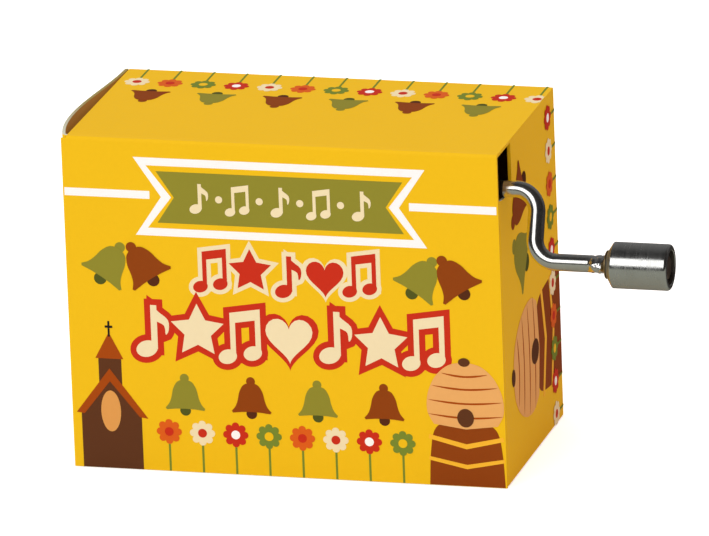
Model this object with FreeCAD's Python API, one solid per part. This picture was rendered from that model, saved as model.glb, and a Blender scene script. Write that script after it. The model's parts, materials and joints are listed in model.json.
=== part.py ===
"""Hand-cranked music box in a printed card carton, in millimetres.

+X is the crank side, +Y the back, +Z up. The origin is the centre of the carton's bottom face.
The carton is a folded tube (front, top, back, bottom) closed by an end panel at each end. The
movement hangs behind the front panel: a wire crank turns a worm, the worm turns a pinned cylinder,
and the pins pass a steel comb.
"""
import FreeCAD, Part
import math
import os
from FreeCAD import Vector

os.makedirs("parts", exist_ok=True)

# carton
WIDTH = 60.0
DEPTH = 31.5
HEIGHT = 46.5
CARD = 0.45
CARD_GAP = 0.1              # between two sheets of card that move or slide past each other
CREASE_GAP = 0.05           # between a folding flap and the panel it hangs on
END_INSET = 1.0             # from the end panel's outer face to the fold of the dust flap behind it
TUCK_LENGTH = 9.0
TUCK_LEAN = 5.0             # degrees that a tuck flap leans inwards off the front panel
TUCK_SHORT = 1.0            # how far a tuck flap stops short of the top and the bottom
TUCK_CORNER = 3.0           # leg of the cut-off corners of a tuck flap
TUCK_TURN = 36.0            # degrees that the tuck flap folds in while its end panel opens
DUST_LENGTH = 14.0
DUST_SLANT = 0.9            # how far the slanted edge runs to the front for each mm of the flap's length
DUST_CORNER = 2.0           # length of the 45 degree start of the slanted edge
DUST_TO_TUCK = 0.3          # from a dust flap's front edge to the leaning tuck flap
GLUE_TO_PLATE = 1.95        # from the glue flap's edge to the movement's bedplate
GLUE_FLAP_SHORT = 0.5       # from the glue flap's ends to the tuck flaps
END_BOW = 1.5               # how far the left end panel's top edge stands out
BOW_PEAK = 0.3              # where along the panel it stands out most, from the front
BOW_TAIL = 0.7              # a second place along the panel, on the way to the hinge
BOW_TAIL_SHARE = 0.45       # how much of the bow is left at that second place

# crank
WIRE_RADIUS = 1.15
SHAFT_FROM_TOP = 5.7
ARM_OUT = 4.6               # from the end panel to the arm's centre plane
ARM_RADIUS = 9.45
ARM_LEAN = 22.0             # degrees from straight down towards the front, at rest
BEND_RADIUS = 3.0
NOTCH_BEHIND_SHAFT = 3.7    # from the shaft's axis to the notch's rear edge
NOTCH_ARC_RADIUS = 11.7
NOTCH_CLEARANCE = 0.1

# knob
KNOB_RADIUS = 3.1
KNOB_LENGTH = 8.5
KNOB_OUT = 14.8             # from the end panel to the knob's inner end
KNOB_CHAMFER_AXIAL = 0.8
KNOB_CHAMFER_RADIAL = 1.2
KNOB_EDGE = 0.4
KNOB_BORE_CLEARANCE = 0.08
KNOB_END_PLAY = 0.05
RECESS_RADIUS = 2.3
RECESS_DEPTH = 0.9
RIVET_RADIUS = 1.7
RIVET_THICK = 0.6
WASHER_RADIUS = 1.9
WASHER_THICK = 0.2
WING_LENGTH = 1.6
WING_REACH = 1.75
WING_THICK = 0.8
WING_CHAMFER = 0.25

# worm and wheel
MODULE = 0.4
WHEEL_TEETH = 30
WHEEL_THICK = 1.8
WORM_CORE_WALL = 0.25
WORM_TURNS = 4
WORM_END = 0.5
TIP_CLEARANCE = 0.1
TOOTH_WIDTH = 0.42          # at the pitch line, of the thread and of a wheel tooth alike
TOOTH_SLOPE = 0.35          # width lost per side for each mm of height

# cylinder
CYLINDER_RADIUS = 6.5
CYLINDER_WALL = 0.6
CYLINDER_LENGTH = 20.4
CAP_THICK = 1.2
ARBOR_RADIUS = 0.6
BEARING_CLEARANCE = 0.05
PIN_RADIUS = 0.19
PIN_HEIGHT = 0.45
PIN_COUNT = 88
PIN_PLACES = 96             # even places round the cylinder; the last ones stay free
TRACK_STEP = 7              # tracks from one pin to the next
TRACK_SHIFT = 4             # pins after which the pattern moves up by one track
WHEEL_TO_CYLINDER = 1.9

# comb
TEETH = 18
TOOTH_PITCH = 1.05
TOOTH_GAP = 0.3
TIP_GAP = 0.08
COMB_THICK = 1.0
TOOTH_THICK = 0.45
LONG_TOOTH = 14.5
SHORT_TOOTH = 9.0
COMB_ROOT = 6.5
COMB_MARGIN = 0.8
COMB_BASE_SHORT = 1.0       # how far the base stops short of the longest tooth's root
WEIGHTED_TEETH = 7
WEIGHT_LENGTH = 3.2
WEIGHT_FROM_TIP = 0.8
WEIGHT_HEIGHT = 2.2
WEIGHT_TAPER = 0.22

# frame of the movement
PAD_THICK = 0.3
PAD_WIDTH = 8.0
PLATE_THICK = 1.0
PLATE_TO_TUCK = 0.7         # from the plate's ends to the tuck flaps
CYLINDER_TO_EDGE = 1.9      # from the cylinder's side to the plate's end
PLATE_BELOW_CYLINDER = 4.2
PLATE_CORNER = 1.5
PLATE_TOP_GAP = 0.5         # from the plate's upper edge to the top panel
WINDOW_MARGIN = 0.5
BEARING_THICK = 1.0
BEARING_HALF_WIDTH = 3.0
BEARING_END_PLAY = 0.15
WORM_TO_BEARING = 0.35      # from the worm's thread to the cylinder's upper bearing
FOOT_HALF_LENGTH = 8.0
FOOT_DEPTH = 2.0
FOOT_SCREW_OUT = 6.2
SCREW_RADIUS = 0.6
SCREW_HEAD_RADIUS = 1.0
SCREW_HEAD_HEIGHT = 0.6
SLOT_WIDTH = 0.25
SLOT_DEPTH = 0.3
COMB_SCREW_RADIUS = 1.0
COMB_SCREW_HEAD = 1.9
COMB_SCREW_SPREAD = 6.5
CLIP_RADIUS = 1.9
CLIP_THICK = 0.5
CLIP_TO_PLATE = 0.05
SHAFT_EAR_RADIUS = 1.9

# planes and axes that several pieces share
LEFT = -WIDTH / 2
RIGHT = WIDTH / 2
FRONT = -DEPTH / 2
BACK = DEPTH / 2
TUCK_FACE = FRONT + CARD + CARD_GAP
PLATE_HALF_LENGTH = WIDTH / 2 - TUCK_LENGTH - PLATE_TO_TUCK
PLATE_Y = FRONT + CARD + PAD_THICK
PLATE_FACE = PLATE_Y + PLATE_THICK
SHAFT_Y = PLATE_FACE + CLIP_RADIUS + CLIP_TO_PLATE
SHAFT_Z = HEIGHT - SHAFT_FROM_TOP
WORM_ROOT = WIRE_RADIUS + WORM_CORE_WALL
WHEEL_PITCH_RADIUS = MODULE * WHEEL_TEETH / 2
WHEEL_TIP = WHEEL_PITCH_RADIUS + MODULE
WORM_PITCH_RADIUS = WORM_ROOT + TIP_CLEARANCE + MODULE
WORM_TIP = WORM_PITCH_RADIUS + MODULE - TIP_CLEARANCE / 2
THREAD_PITCH = math.pi * MODULE
WORM_HALF = WORM_TURNS * THREAD_PITCH / 2 + WORM_END
CYLINDER_X = PLATE_HALF_LENGTH - CYLINDER_RADIUS - CYLINDER_TO_EDGE
CYLINDER_Y = SHAFT_Y + WORM_PITCH_RADIUS + WHEEL_PITCH_RADIUS
CYLINDER_TOP = SHAFT_Z - WHEEL_THICK / 2 - WHEEL_TO_CYLINDER
CYLINDER_BOTTOM = CYLINDER_TOP - CYLINDER_LENGTH
PLATE_TOP = HEIGHT - CARD - PLATE_TOP_GAP
PLATE_BOTTOM = CYLINDER_BOTTOM - PLATE_BELOW_CYLINDER
COMB_MIDDLE = (CYLINDER_TOP + CYLINDER_BOTTOM) / 2
COMB_HALF = TEETH * TOOTH_PITCH / 2 + COMB_MARGIN
COMB_TIP_X = CYLINDER_X - CYLINDER_RADIUS - PIN_HEIGHT - TIP_GAP
COMB_ROOT_X = COMB_TIP_X - LONG_TOOTH
COMB_FACE = CYLINDER_Y - TOOTH_THICK / 2
KNOB_X = RIGHT + KNOB_OUT
RECESS_FLOOR = KNOB_X + KNOB_LENGTH - RECESS_DEPTH
ARM_DOWN = Vector(0, -math.sin(math.radians(ARM_LEAN)), -math.cos(math.radians(ARM_LEAN)))
SHAFT_POINT = Vector(0, SHAFT_Y, SHAFT_Z)
KNOB_POINT = SHAFT_POINT + ARM_DOWN * ARM_RADIUS
AXIS_X = Vector(1, 0, 0)
AXIS_Y = Vector(0, 1, 0)
AXIS_Z = Vector(0, 0, 1)


def save(name, shape):
    """Write one node's STEP file."""
    shape.exportStep("parts/" + name + ".step")


def block(x0, x1, y0, y1, z0, z1):
    """A box between two values on each axis."""
    return Part.makeBox(x1 - x0, y1 - y0, z1 - z0, Vector(x0, y0, z0))


def rod(start, end, radius):
    """A round bar from one point to another."""
    line = end - start
    return Part.makeCylinder(radius, line.Length, start, line)


def ring(start, end, radius, bore):
    """A round bar with a hole along its axis."""
    return rod(start, end, radius).cut(rod(start, end, bore))


def plate(points, push):
    """A flat outline pushed along a vector into a solid."""
    return Part.Face(Part.makePolygon(points + points[:1])).extrude(push)


def at_shaft(x):
    """The point on the crank shaft's axis at one x."""
    return Vector(x, SHAFT_Y, SHAFT_Z)


def at_cylinder(z):
    """The point on the cylinder's axis at one z."""
    return Vector(CYLINDER_X, CYLINDER_Y, z)


def at_knob(x):
    """The point on the knob's axis at one x."""
    return Vector(x, KNOB_POINT.y, KNOB_POINT.z)


def tube_panels():
    """The four panels of the folded tube and the glue flap behind the front panel's lower edge."""
    save("front_panel", block(LEFT, RIGHT, FRONT, FRONT + CARD, 0, HEIGHT))
    save("back_panel", block(LEFT, RIGHT, BACK - CARD, BACK, 0, HEIGHT))
    inner = (FRONT + CARD, BACK - CARD)
    dust_left = LEFT + END_INSET + CARD + CREASE_GAP
    dust_right = RIGHT - END_INSET - CARD - CREASE_GAP
    save("top_panel", block(dust_left, RIGHT, *inner, HEIGHT - CARD, HEIGHT))
    save("bottom_panel", block(dust_left, dust_right, *inner, 0, CARD))
    half = WIDTH / 2 - TUCK_LENGTH - GLUE_FLAP_SHORT
    flap_top = PLATE_BOTTOM - GLUE_TO_PLATE
    save("glue_flap", block(-half, half, FRONT + CARD, FRONT + 2 * CARD, CARD, flap_top))


def tuck_flap(z_top):
    """The left end's tuck flap: it hangs on the end panel's front edge and leans off the front panel."""
    x_end = LEFT + TUCK_LENGTH
    outline = [
        Vector(LEFT, TUCK_FACE, TUCK_SHORT),
        Vector(x_end - TUCK_CORNER, TUCK_FACE, TUCK_SHORT),
        Vector(x_end, TUCK_FACE, TUCK_SHORT + TUCK_CORNER),
        Vector(x_end, TUCK_FACE, z_top - TUCK_CORNER),
        Vector(x_end - TUCK_CORNER, TUCK_FACE, z_top),
        Vector(LEFT, TUCK_FACE, z_top),
    ]
    flap = plate(outline, Vector(0, CARD, 0))
    flap.rotate(Vector(LEFT, TUCK_FACE, 0), AXIS_Z, TUCK_LEAN)
    return flap


def mirrored(shape):
    """The same shape at the other end of the carton."""
    return shape.mirror(Vector(0, 0, 0), AXIS_X)


def left_end():
    """The left end's panel, tuck flap and two dust flaps, each on its own hinge."""
    widest_turn = math.radians(TUCK_TURN + TUCK_LEAN)
    fold_room = CARD * (1 + math.sin(widest_turn)) / math.cos(widest_turn) + CARD_GAP
    y0 = TUCK_FACE + fold_room
    y1 = BACK - CARD - CARD_GAP
    span = y1 - y0
    section = []
    for z, bow in ((CARD_GAP, 0.0), (HEIGHT - CARD_GAP, END_BOW)):
        outer = Part.BSplineCurve()
        outer.interpolate([
            Vector(LEFT, y0, z),
            Vector(LEFT - bow, y0 + BOW_PEAK * span, z),
            Vector(LEFT - BOW_TAIL_SHARE * bow, y0 + BOW_TAIL * span, z),
            Vector(LEFT, y1, z),
        ])
        outer_edge = outer.toShape()
        inner_edge = outer_edge.copy()
        inner_edge.translate(Vector(CARD, 0, 0))
        ends = [
            Part.makeLine(Vector(LEFT, y1, z), Vector(LEFT + CARD, y1, z)),
            Part.makeLine(Vector(LEFT + CARD, y0, z), Vector(LEFT, y0, z)),
        ]
        section.append(Part.Wire([outer_edge, ends[0], inner_edge, ends[1]]))
    save("left_end_panel", Part.makeLoft(section, True, True))
    save("left_tuck_flap", tuck_flap(HEIGHT - TUCK_SHORT))
    for name, fold_z, inwards in (("top", HEIGHT, -1), ("bottom", 0.0, 1)):
        save("left_dust_flap_" + name, dust_flap(fold_z, inwards))


def dust_flap(fold_z, inwards):
    """A dust flap of the left end, hanging on the top panel or standing on the bottom one."""
    x0 = LEFT + END_INSET
    front = TUCK_FACE + CARD + TUCK_LENGTH * math.sin(math.radians(TUCK_LEAN)) + DUST_TO_TUCK
    back = BACK - CARD - CARD_GAP
    tip = fold_z + inwards * DUST_LENGTH
    slope_end = back - DUST_CORNER - DUST_SLANT * (DUST_LENGTH - DUST_CORNER)
    outline = [
        Vector(x0, front, fold_z),
        Vector(x0, front + CARD, tip),
        Vector(x0, slope_end, tip),
        Vector(x0, back - DUST_CORNER, fold_z + inwards * DUST_CORNER),
        Vector(x0, back, fold_z),
    ]
    return plate(outline, Vector(CARD, 0, 0))


def right_end():
    """The right end's panel with the crank's notch, its tuck flap and its lower dust flap."""
    x0 = RIGHT - CARD
    y0 = TUCK_FACE + CARD + CREASE_GAP
    y1 = BACK - CARD
    z0 = CARD_GAP
    z1 = HEIGHT - CARD
    notch_low = SHAFT_Z - WIRE_RADIUS - NOTCH_CLEARANCE
    notch_back = SHAFT_Y + NOTCH_BEHIND_SHAFT

    def notch_z(y):
        """Height of the notch's curved bottom."""
        return notch_low + NOTCH_ARC_RADIUS - math.sqrt(NOTCH_ARC_RADIUS ** 2 - (y - SHAFT_Y) ** 2)

    corners = [
        Vector(x0, y0, notch_z(y0)),
        Vector(x0, y0, z0),
        Vector(x0, y1, z0),
        Vector(x0, y1, z1),
        Vector(x0, notch_back, z1),
        Vector(x0, notch_back, notch_z(notch_back)),
    ]
    edges = [Part.makeLine(a, b) for a, b in zip(corners, corners[1:])]
    edges.append(Part.Arc(corners[-1], Vector(x0, SHAFT_Y, notch_low), corners[0]).toShape())
    save("right_end_panel", Part.Face(Part.Wire(edges)).extrude(Vector(CARD, 0, 0)))
    save("right_tuck_flap", mirrored(tuck_flap(notch_z(y0))))
    save("right_dust_flap", mirrored(dust_flap(0.0, 1)))


def wire_path():
    """The crank wire's centre line: shaft, arm and knob spindle, joined by two round bends."""
    arm_x = RIGHT + ARM_OUT
    shaft_end = arm_x - BEND_RADIUS
    spindle_start = arm_x + BEND_RADIUS
    half = math.sqrt(0.5) * BEND_RADIUS
    start = at_shaft(CYLINDER_X - WORM_HALF - BEARING_THICK - CLIP_THICK - 3 * BEARING_END_PLAY)
    bend_1 = at_shaft(shaft_end)
    arm_top = at_shaft(arm_x) + ARM_DOWN * BEND_RADIUS
    arm_low = at_knob(arm_x) - ARM_DOWN * BEND_RADIUS
    bend_2 = at_knob(spindle_start)
    centre_1 = bend_1 + ARM_DOWN * BEND_RADIUS
    centre_2 = bend_2 - ARM_DOWN * BEND_RADIUS
    return Part.Wire([
        Part.makeLine(start, bend_1),
        Part.Arc(bend_1, centre_1 + AXIS_X * half - ARM_DOWN * half, arm_top).toShape(),
        Part.makeLine(arm_top, arm_low),
        Part.Arc(arm_low, centre_2 - AXIS_X * half + ARM_DOWN * half, bend_2).toShape(),
        Part.makeLine(bend_2, at_knob(RECESS_FLOOR + KNOB_END_PLAY)),
    ]), start


def crank():
    """The bent wire with its two pinched wings, the washer, the riveted end and the loose knob."""
    path, start = wire_path()
    profile = Part.Wire(Part.makeCircle(WIRE_RADIUS, start, AXIS_X))
    wire = path.makePipeShell([profile], True, False)
    wing_end = KNOB_X - KNOB_END_PLAY - WASHER_THICK
    wing_half = WING_THICK / 2
    wings = block(wing_end - WING_LENGTH, wing_end, -WING_REACH, WING_REACH, -wing_half, wing_half)
    wings = wings.makeChamfer(WING_CHAMFER, wings.Edges)
    wings.translate(Vector(0, KNOB_POINT.y, KNOB_POINT.z))
    save("crank_wire", wire.fuse(wings).removeSplitter())
    washer_end = at_knob(wing_end + WASHER_THICK)
    save("knob_washer", ring(at_knob(wing_end), washer_end, WASHER_RADIUS, WIRE_RADIUS))
    rivet_x = RECESS_FLOOR + KNOB_END_PLAY
    rivet = rod(at_knob(rivet_x), at_knob(rivet_x + RIVET_THICK), RIVET_RADIUS)
    outer_rim = [edge for edge in rivet.Edges if edge.BoundBox.XMin > rivet_x + RIVET_THICK / 2]
    save("wire_rivet_end", rivet.makeFillet(RIVET_THICK / 2, outer_rim[:1]))
    clip_x = CYLINDER_X - WORM_HALF - BEARING_THICK - 2 * BEARING_END_PLAY
    save("shaft_clip", ring(at_shaft(clip_x - CLIP_THICK), at_shaft(clip_x), CLIP_RADIUS, WIRE_RADIUS))


def knob():
    """The turned knob: a drum with a chamfered inner end, a rounded rim and a recess round the rivet."""
    bore = WIRE_RADIUS + KNOB_BORE_CLEARANCE
    outer_x = KNOB_X + KNOB_LENGTH
    half = KNOB_EDGE * (1 - math.sqrt(0.5))
    start = Vector(KNOB_X, bore, 0)
    chamfer_low = Vector(KNOB_X, KNOB_RADIUS - KNOB_CHAMFER_RADIAL, 0)
    chamfer_high = Vector(KNOB_X + KNOB_CHAMFER_AXIAL, KNOB_RADIUS, 0)
    rim_low = Vector(outer_x - KNOB_EDGE, KNOB_RADIUS, 0)
    rim_middle = Vector(outer_x - half, KNOB_RADIUS - half, 0)
    rim_high = Vector(outer_x, KNOB_RADIUS - KNOB_EDGE, 0)
    mouth = Vector(outer_x, RECESS_RADIUS, 0)
    floor = Vector(RECESS_FLOOR, RECESS_RADIUS, 0)
    bore_end = Vector(RECESS_FLOOR, bore, 0)
    outline = Part.Wire([
        Part.makeLine(start, chamfer_low),
        Part.makeLine(chamfer_low, chamfer_high),
        Part.makeLine(chamfer_high, rim_low),
        Part.Arc(rim_low, rim_middle, rim_high).toShape(),
        Part.makeLine(rim_high, mouth),
        Part.makeLine(mouth, floor),
        Part.makeLine(floor, bore_end),
        Part.makeLine(bore_end, start),
    ])
    drum = Part.Face(outline).revolve(Vector(0, 0, 0), AXIS_X, 360)
    drum.translate(Vector(0, KNOB_POINT.y, KNOB_POINT.z))
    save("knob", drum)


def worm():
    """A single-start right-hand worm; its thread stands in a tooth gap of the wheel at rest."""
    length = WORM_TURNS * THREAD_PITCH
    sink = WORM_CORE_WALL / 3
    height = WORM_TIP - WORM_ROOT
    tip_half = TOOTH_WIDTH / 2 - TOOTH_SLOPE * (WORM_TIP - WORM_PITCH_RADIUS)
    root_half = tip_half + TOOTH_SLOPE * (height + sink)
    helix = Part.makeHelix(THREAD_PITCH, length, WORM_ROOT)
    section = Part.makePolygon([
        Vector(WORM_ROOT - sink, 0, -root_half),
        Vector(WORM_TIP, 0, -tip_half),
        Vector(WORM_TIP, 0, tip_half),
        Vector(WORM_ROOT - sink, 0, root_half),
        Vector(WORM_ROOT - sink, 0, -root_half),
    ])
    thread = Part.Wire(helix).makePipeShell([section], True, True)
    core = Part.makeCylinder(WORM_ROOT, 2 * WORM_HALF, Vector(0, 0, -WORM_END))
    bore = Part.makeCylinder(WIRE_RADIUS, 2 * WORM_HALF, Vector(0, 0, -WORM_END))
    shape = core.fuse(thread).cut(bore)
    shape.Placement = FreeCAD.Placement(FreeCAD.Matrix(
        0, 0, 1, CYLINDER_X - length / 2,
        1, 0, 0, SHAFT_Y,
        0, 1, 0, SHAFT_Z,
        0, 0, 0, 1,
    ))
    save("worm", shape)


def worm_wheel():
    """The wheel on the cylinder's arbor, with straight teeth and a tooth gap facing the worm."""
    root = WHEEL_PITCH_RADIUS - MODULE - TIP_CLEARANCE
    z0 = SHAFT_Z - WHEEL_THICK / 2
    shape = ring(at_cylinder(z0), at_cylinder(z0 + WHEEL_THICK), root, ARBOR_RADIUS)
    tip_half = TOOTH_WIDTH / 2 - TOOTH_SLOPE * MODULE
    root_half = TOOTH_WIDTH / 2 + TOOTH_SLOPE * MODULE
    inside = root - MODULE
    tooth = plate([
        Vector(-root_half, inside, z0),
        Vector(-root_half, root, z0),
        Vector(-tip_half, WHEEL_TIP, z0),
        Vector(tip_half, WHEEL_TIP, z0),
        Vector(root_half, root, z0),
        Vector(root_half, inside, z0),
    ], Vector(0, 0, WHEEL_THICK))
    teeth = []
    for number in range(WHEEL_TEETH):
        copy = tooth.copy()
        copy.rotate(Vector(0, 0, 0), AXIS_Z, 180 + (number + 0.5) * 360 / WHEEL_TEETH)
        copy.translate(Vector(CYLINDER_X, CYLINDER_Y, 0))
        teeth.append(copy)
    save("worm_wheel", shape.fuse(teeth).removeSplitter())


def cylinder():
    """The pinned tube with its end caps on the arbor that also carries the worm wheel."""
    bottom = at_cylinder(CYLINDER_BOTTOM)
    top = at_cylinder(CYLINDER_TOP)
    inner = CYLINDER_RADIUS - CYLINDER_WALL
    save("cylinder_tube", ring(bottom, top, CYLINDER_RADIUS, inner))
    caps = [
        ring(bottom, at_cylinder(CYLINDER_BOTTOM + CAP_THICK), inner, ARBOR_RADIUS),
        ring(at_cylinder(CYLINDER_TOP - CAP_THICK), top, inner, ARBOR_RADIUS),
    ]
    save("cylinder_end_caps", Part.makeCompound(caps))
    arbor_bottom = CYLINDER_BOTTOM - BEARING_END_PLAY - BEARING_THICK - BEARING_END_PLAY
    arbor_top = upper_bearing_z() + BEARING_THICK + BEARING_END_PLAY
    save("cylinder_arbor", rod(at_cylinder(arbor_bottom), at_cylinder(arbor_top), ARBOR_RADIUS))
    pins = []
    for number in range(PIN_COUNT):
        track = (TRACK_STEP * number + number // TRACK_SHIFT) % TEETH
        z = COMB_MIDDLE + (track - (TEETH - 1) / 2) * TOOTH_PITCH
        angle = math.radians(number * 360 / PIN_PLACES)
        outwards = Vector(math.cos(angle), math.sin(angle), 0)
        start = at_cylinder(z) + outwards * CYLINDER_RADIUS
        pins.append(rod(start, start + outwards * PIN_HEIGHT, PIN_RADIUS))
    save("cylinder_pins", Part.makeCompound(pins))


def comb():
    """The tuned comb, longer teeth at the bottom, on its raised base with two screws."""
    x_back = COMB_ROOT_X - COMB_ROOT
    low = COMB_MIDDLE - COMB_HALF
    high = COMB_MIDDLE + COMB_HALF
    short_root = COMB_TIP_X - SHORT_TOOTH
    root = plate([
        Vector(x_back, COMB_FACE, low),
        Vector(COMB_ROOT_X, COMB_FACE, low),
        Vector(short_root, COMB_FACE, high),
        Vector(x_back, COMB_FACE, high),
    ], Vector(0, COMB_THICK, 0))
    slope = (short_root - COMB_ROOT_X) / (high - low)
    half = (TOOTH_PITCH - TOOTH_GAP) / 2
    teeth = []
    weights = []
    for number in range(TEETH):
        z = COMB_MIDDLE + (number - (TEETH - 1) / 2) * TOOTH_PITCH
        x_start = COMB_ROOT_X + slope * (z - half - low) - TOOTH_PITCH
        y_end = COMB_FACE + TOOTH_THICK
        teeth.append(block(x_start, COMB_TIP_X, COMB_FACE, y_end, z - half, z + half))
        if number < WEIGHTED_TEETH:
            y_low = COMB_FACE - WEIGHT_HEIGHT + WEIGHT_TAPER * number
            x_end = COMB_TIP_X - WEIGHT_FROM_TIP
            weights.append(block(x_end - WEIGHT_LENGTH, x_end, y_low, COMB_FACE, z - half, z + half))
    steel = root.fuse(teeth).removeSplitter()
    base_end = COMB_ROOT_X - COMB_BASE_SHORT
    base = block(x_back, base_end, PLATE_FACE, COMB_FACE, low, high)
    x = (x_back + base_end) / 2
    screws = []
    for z in (COMB_MIDDLE - COMB_SCREW_SPREAD, COMB_MIDDLE + COMB_SCREW_SPREAD):
        shank = rod(Vector(x, PLATE_Y, z), Vector(x, COMB_FACE + COMB_THICK, z), COMB_SCREW_RADIUS)
        steel = steel.cut(shank)
        base = base.cut(shank)
        screws.append(shank.fuse(screw_head(Vector(x, COMB_FACE + COMB_THICK, z), COMB_SCREW_HEAD)))
    save("comb", steel)
    save("comb_base", base)
    save("comb_screws", Part.makeCompound(screws))
    save("tuning_weights", Part.makeCompound(weights))
    return [Vector(x, 0, COMB_MIDDLE - COMB_SCREW_SPREAD), Vector(x, 0, COMB_MIDDLE + COMB_SCREW_SPREAD)]


def screw_head(seat, radius):
    """A slotted pan head that sits on a face turned to the back."""
    head = rod(seat, seat + AXIS_Y * SCREW_HEAD_HEIGHT * radius, radius)
    rim = [edge for edge in head.Edges if edge.BoundBox.YMin > seat.y + SCREW_HEAD_HEIGHT * radius / 2]
    head = head.makeFillet(radius / 4, rim[:1])
    top = seat.y + SCREW_HEAD_HEIGHT * radius
    slot = block(seat.x - 2 * radius, seat.x + 2 * radius, top - SLOT_DEPTH, top,
                 seat.z - SLOT_WIDTH / 2, seat.z + SLOT_WIDTH / 2)
    return head.cut(slot)


def upper_bearing_z():
    """The lower face of the cylinder's upper bearing, which reaches over the worm."""
    return SHAFT_Z + WORM_TIP + WORM_TO_BEARING


def cylinder_bearing(z0, foot_side):
    """A bent steel bearing: an ear with the arbor's hole and a foot with two screw holes."""
    width = BEARING_HALF_WIDTH
    ear = block(CYLINDER_X - width, CYLINDER_X + width, PLATE_FACE, CYLINDER_Y, z0, z0 + BEARING_THICK)
    nose = rod(at_cylinder(z0), at_cylinder(z0 + BEARING_THICK), width)
    if foot_side > 0:
        z_low = z0
    else:
        z_low = z0 + BEARING_THICK - FOOT_DEPTH
    foot = block(CYLINDER_X - FOOT_HALF_LENGTH, CYLINDER_X + FOOT_HALF_LENGTH,
                 PLATE_FACE, PLATE_FACE + BEARING_THICK, z_low, z_low + FOOT_DEPTH)
    hole = rod(at_cylinder(z0), at_cylinder(z0 + BEARING_THICK), ARBOR_RADIUS + BEARING_CLEARANCE)
    shape = ear.fuse([nose, foot]).cut(hole)
    screws = []
    for side in (-1, 1):
        x = CYLINDER_X + side * FOOT_SCREW_OUT
        z = z_low + FOOT_DEPTH / 2
        seat = Vector(x, PLATE_FACE + BEARING_THICK, z)
        shank = rod(Vector(x, PLATE_Y, z), seat, SCREW_RADIUS)
        shape = shape.cut(shank)
        screws.append(shank.fuse(screw_head(seat, SCREW_HEAD_RADIUS)))
    return shape.removeSplitter(), screws


def shaft_bearing(x0):
    """A steel ear on the bedplate with a round top and the crank shaft's hole."""
    x1 = x0 + BEARING_THICK
    low = SHAFT_Z - SHAFT_EAR_RADIUS
    high = SHAFT_Z + SHAFT_EAR_RADIUS
    ear = block(x0, x1, PLATE_FACE, SHAFT_Y, low, high)
    nose = rod(at_shaft(x0), at_shaft(x1), SHAFT_EAR_RADIUS)
    nose = nose.common(block(x0, x1, SHAFT_Y, SHAFT_Y + SHAFT_EAR_RADIUS, low, high))
    hole = rod(at_shaft(x0), at_shaft(x1), WIRE_RADIUS + BEARING_CLEARANCE)
    return ear.fuse(nose).cut(hole).removeSplitter()


def movement_frame(comb_holes):
    """The bedplate on its adhesive pads, and the bearings with their screws."""
    pads = []
    for x0 in (-PLATE_HALF_LENGTH, PLATE_HALF_LENGTH - PAD_WIDTH):
        pads.append(block(x0, x0 + PAD_WIDTH, FRONT + CARD, PLATE_Y, PLATE_BOTTOM, PLATE_TOP))
    save("adhesive_pads", Part.makeCompound(pads))
    lower_z = CYLINDER_BOTTOM - BEARING_END_PLAY - BEARING_THICK
    upper, upper_screws = cylinder_bearing(upper_bearing_z(), 1)
    lower, lower_screws = cylinder_bearing(lower_z, -1)
    save("cylinder_bearing_top", upper)
    save("cylinder_bearing_bottom", lower)
    save("bearing_screws", Part.makeCompound(upper_screws + lower_screws))
    inner_x = CYLINDER_X - WORM_HALF - BEARING_END_PLAY - BEARING_THICK
    outer_x = CYLINDER_X + WORM_HALF + BEARING_END_PLAY
    save("shaft_bearing_inner", shaft_bearing(inner_x))
    save("shaft_bearing_outer", shaft_bearing(outer_x))
    bed = block(-PLATE_HALF_LENGTH, PLATE_HALF_LENGTH, PLATE_Y, PLATE_FACE, PLATE_BOTTOM, PLATE_TOP)
    upright = [edge for edge in bed.Edges if edge.BoundBox.YLength > PLATE_THICK / 2]
    bed = bed.makeFillet(PLATE_CORNER, upright)
    window_half = WORM_TIP + WINDOW_MARGIN
    bed = bed.cut(block(CYLINDER_X - WORM_HALF, CYLINDER_X + WORM_HALF, PLATE_Y, PLATE_FACE,
                        SHAFT_Z - window_half, SHAFT_Z + window_half))
    for hole in comb_holes:
        front = Vector(hole.x, PLATE_Y, hole.z)
        bed = bed.cut(rod(front, Vector(hole.x, PLATE_FACE, hole.z), COMB_SCREW_RADIUS))
    for screw in upper_screws + lower_screws:
        bed = bed.cut(screw)
    save("bedplate", bed)


tube_panels()
left_end()
right_end()
crank()
knob()
worm()
worm_wheel()
cylinder()
movement_frame(comb())
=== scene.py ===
import json
import math

import bmesh
import bpy
from bpy.props import FloatProperty, FloatVectorProperty, PointerProperty
from mathutils import Matrix, Vector, noise

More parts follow.
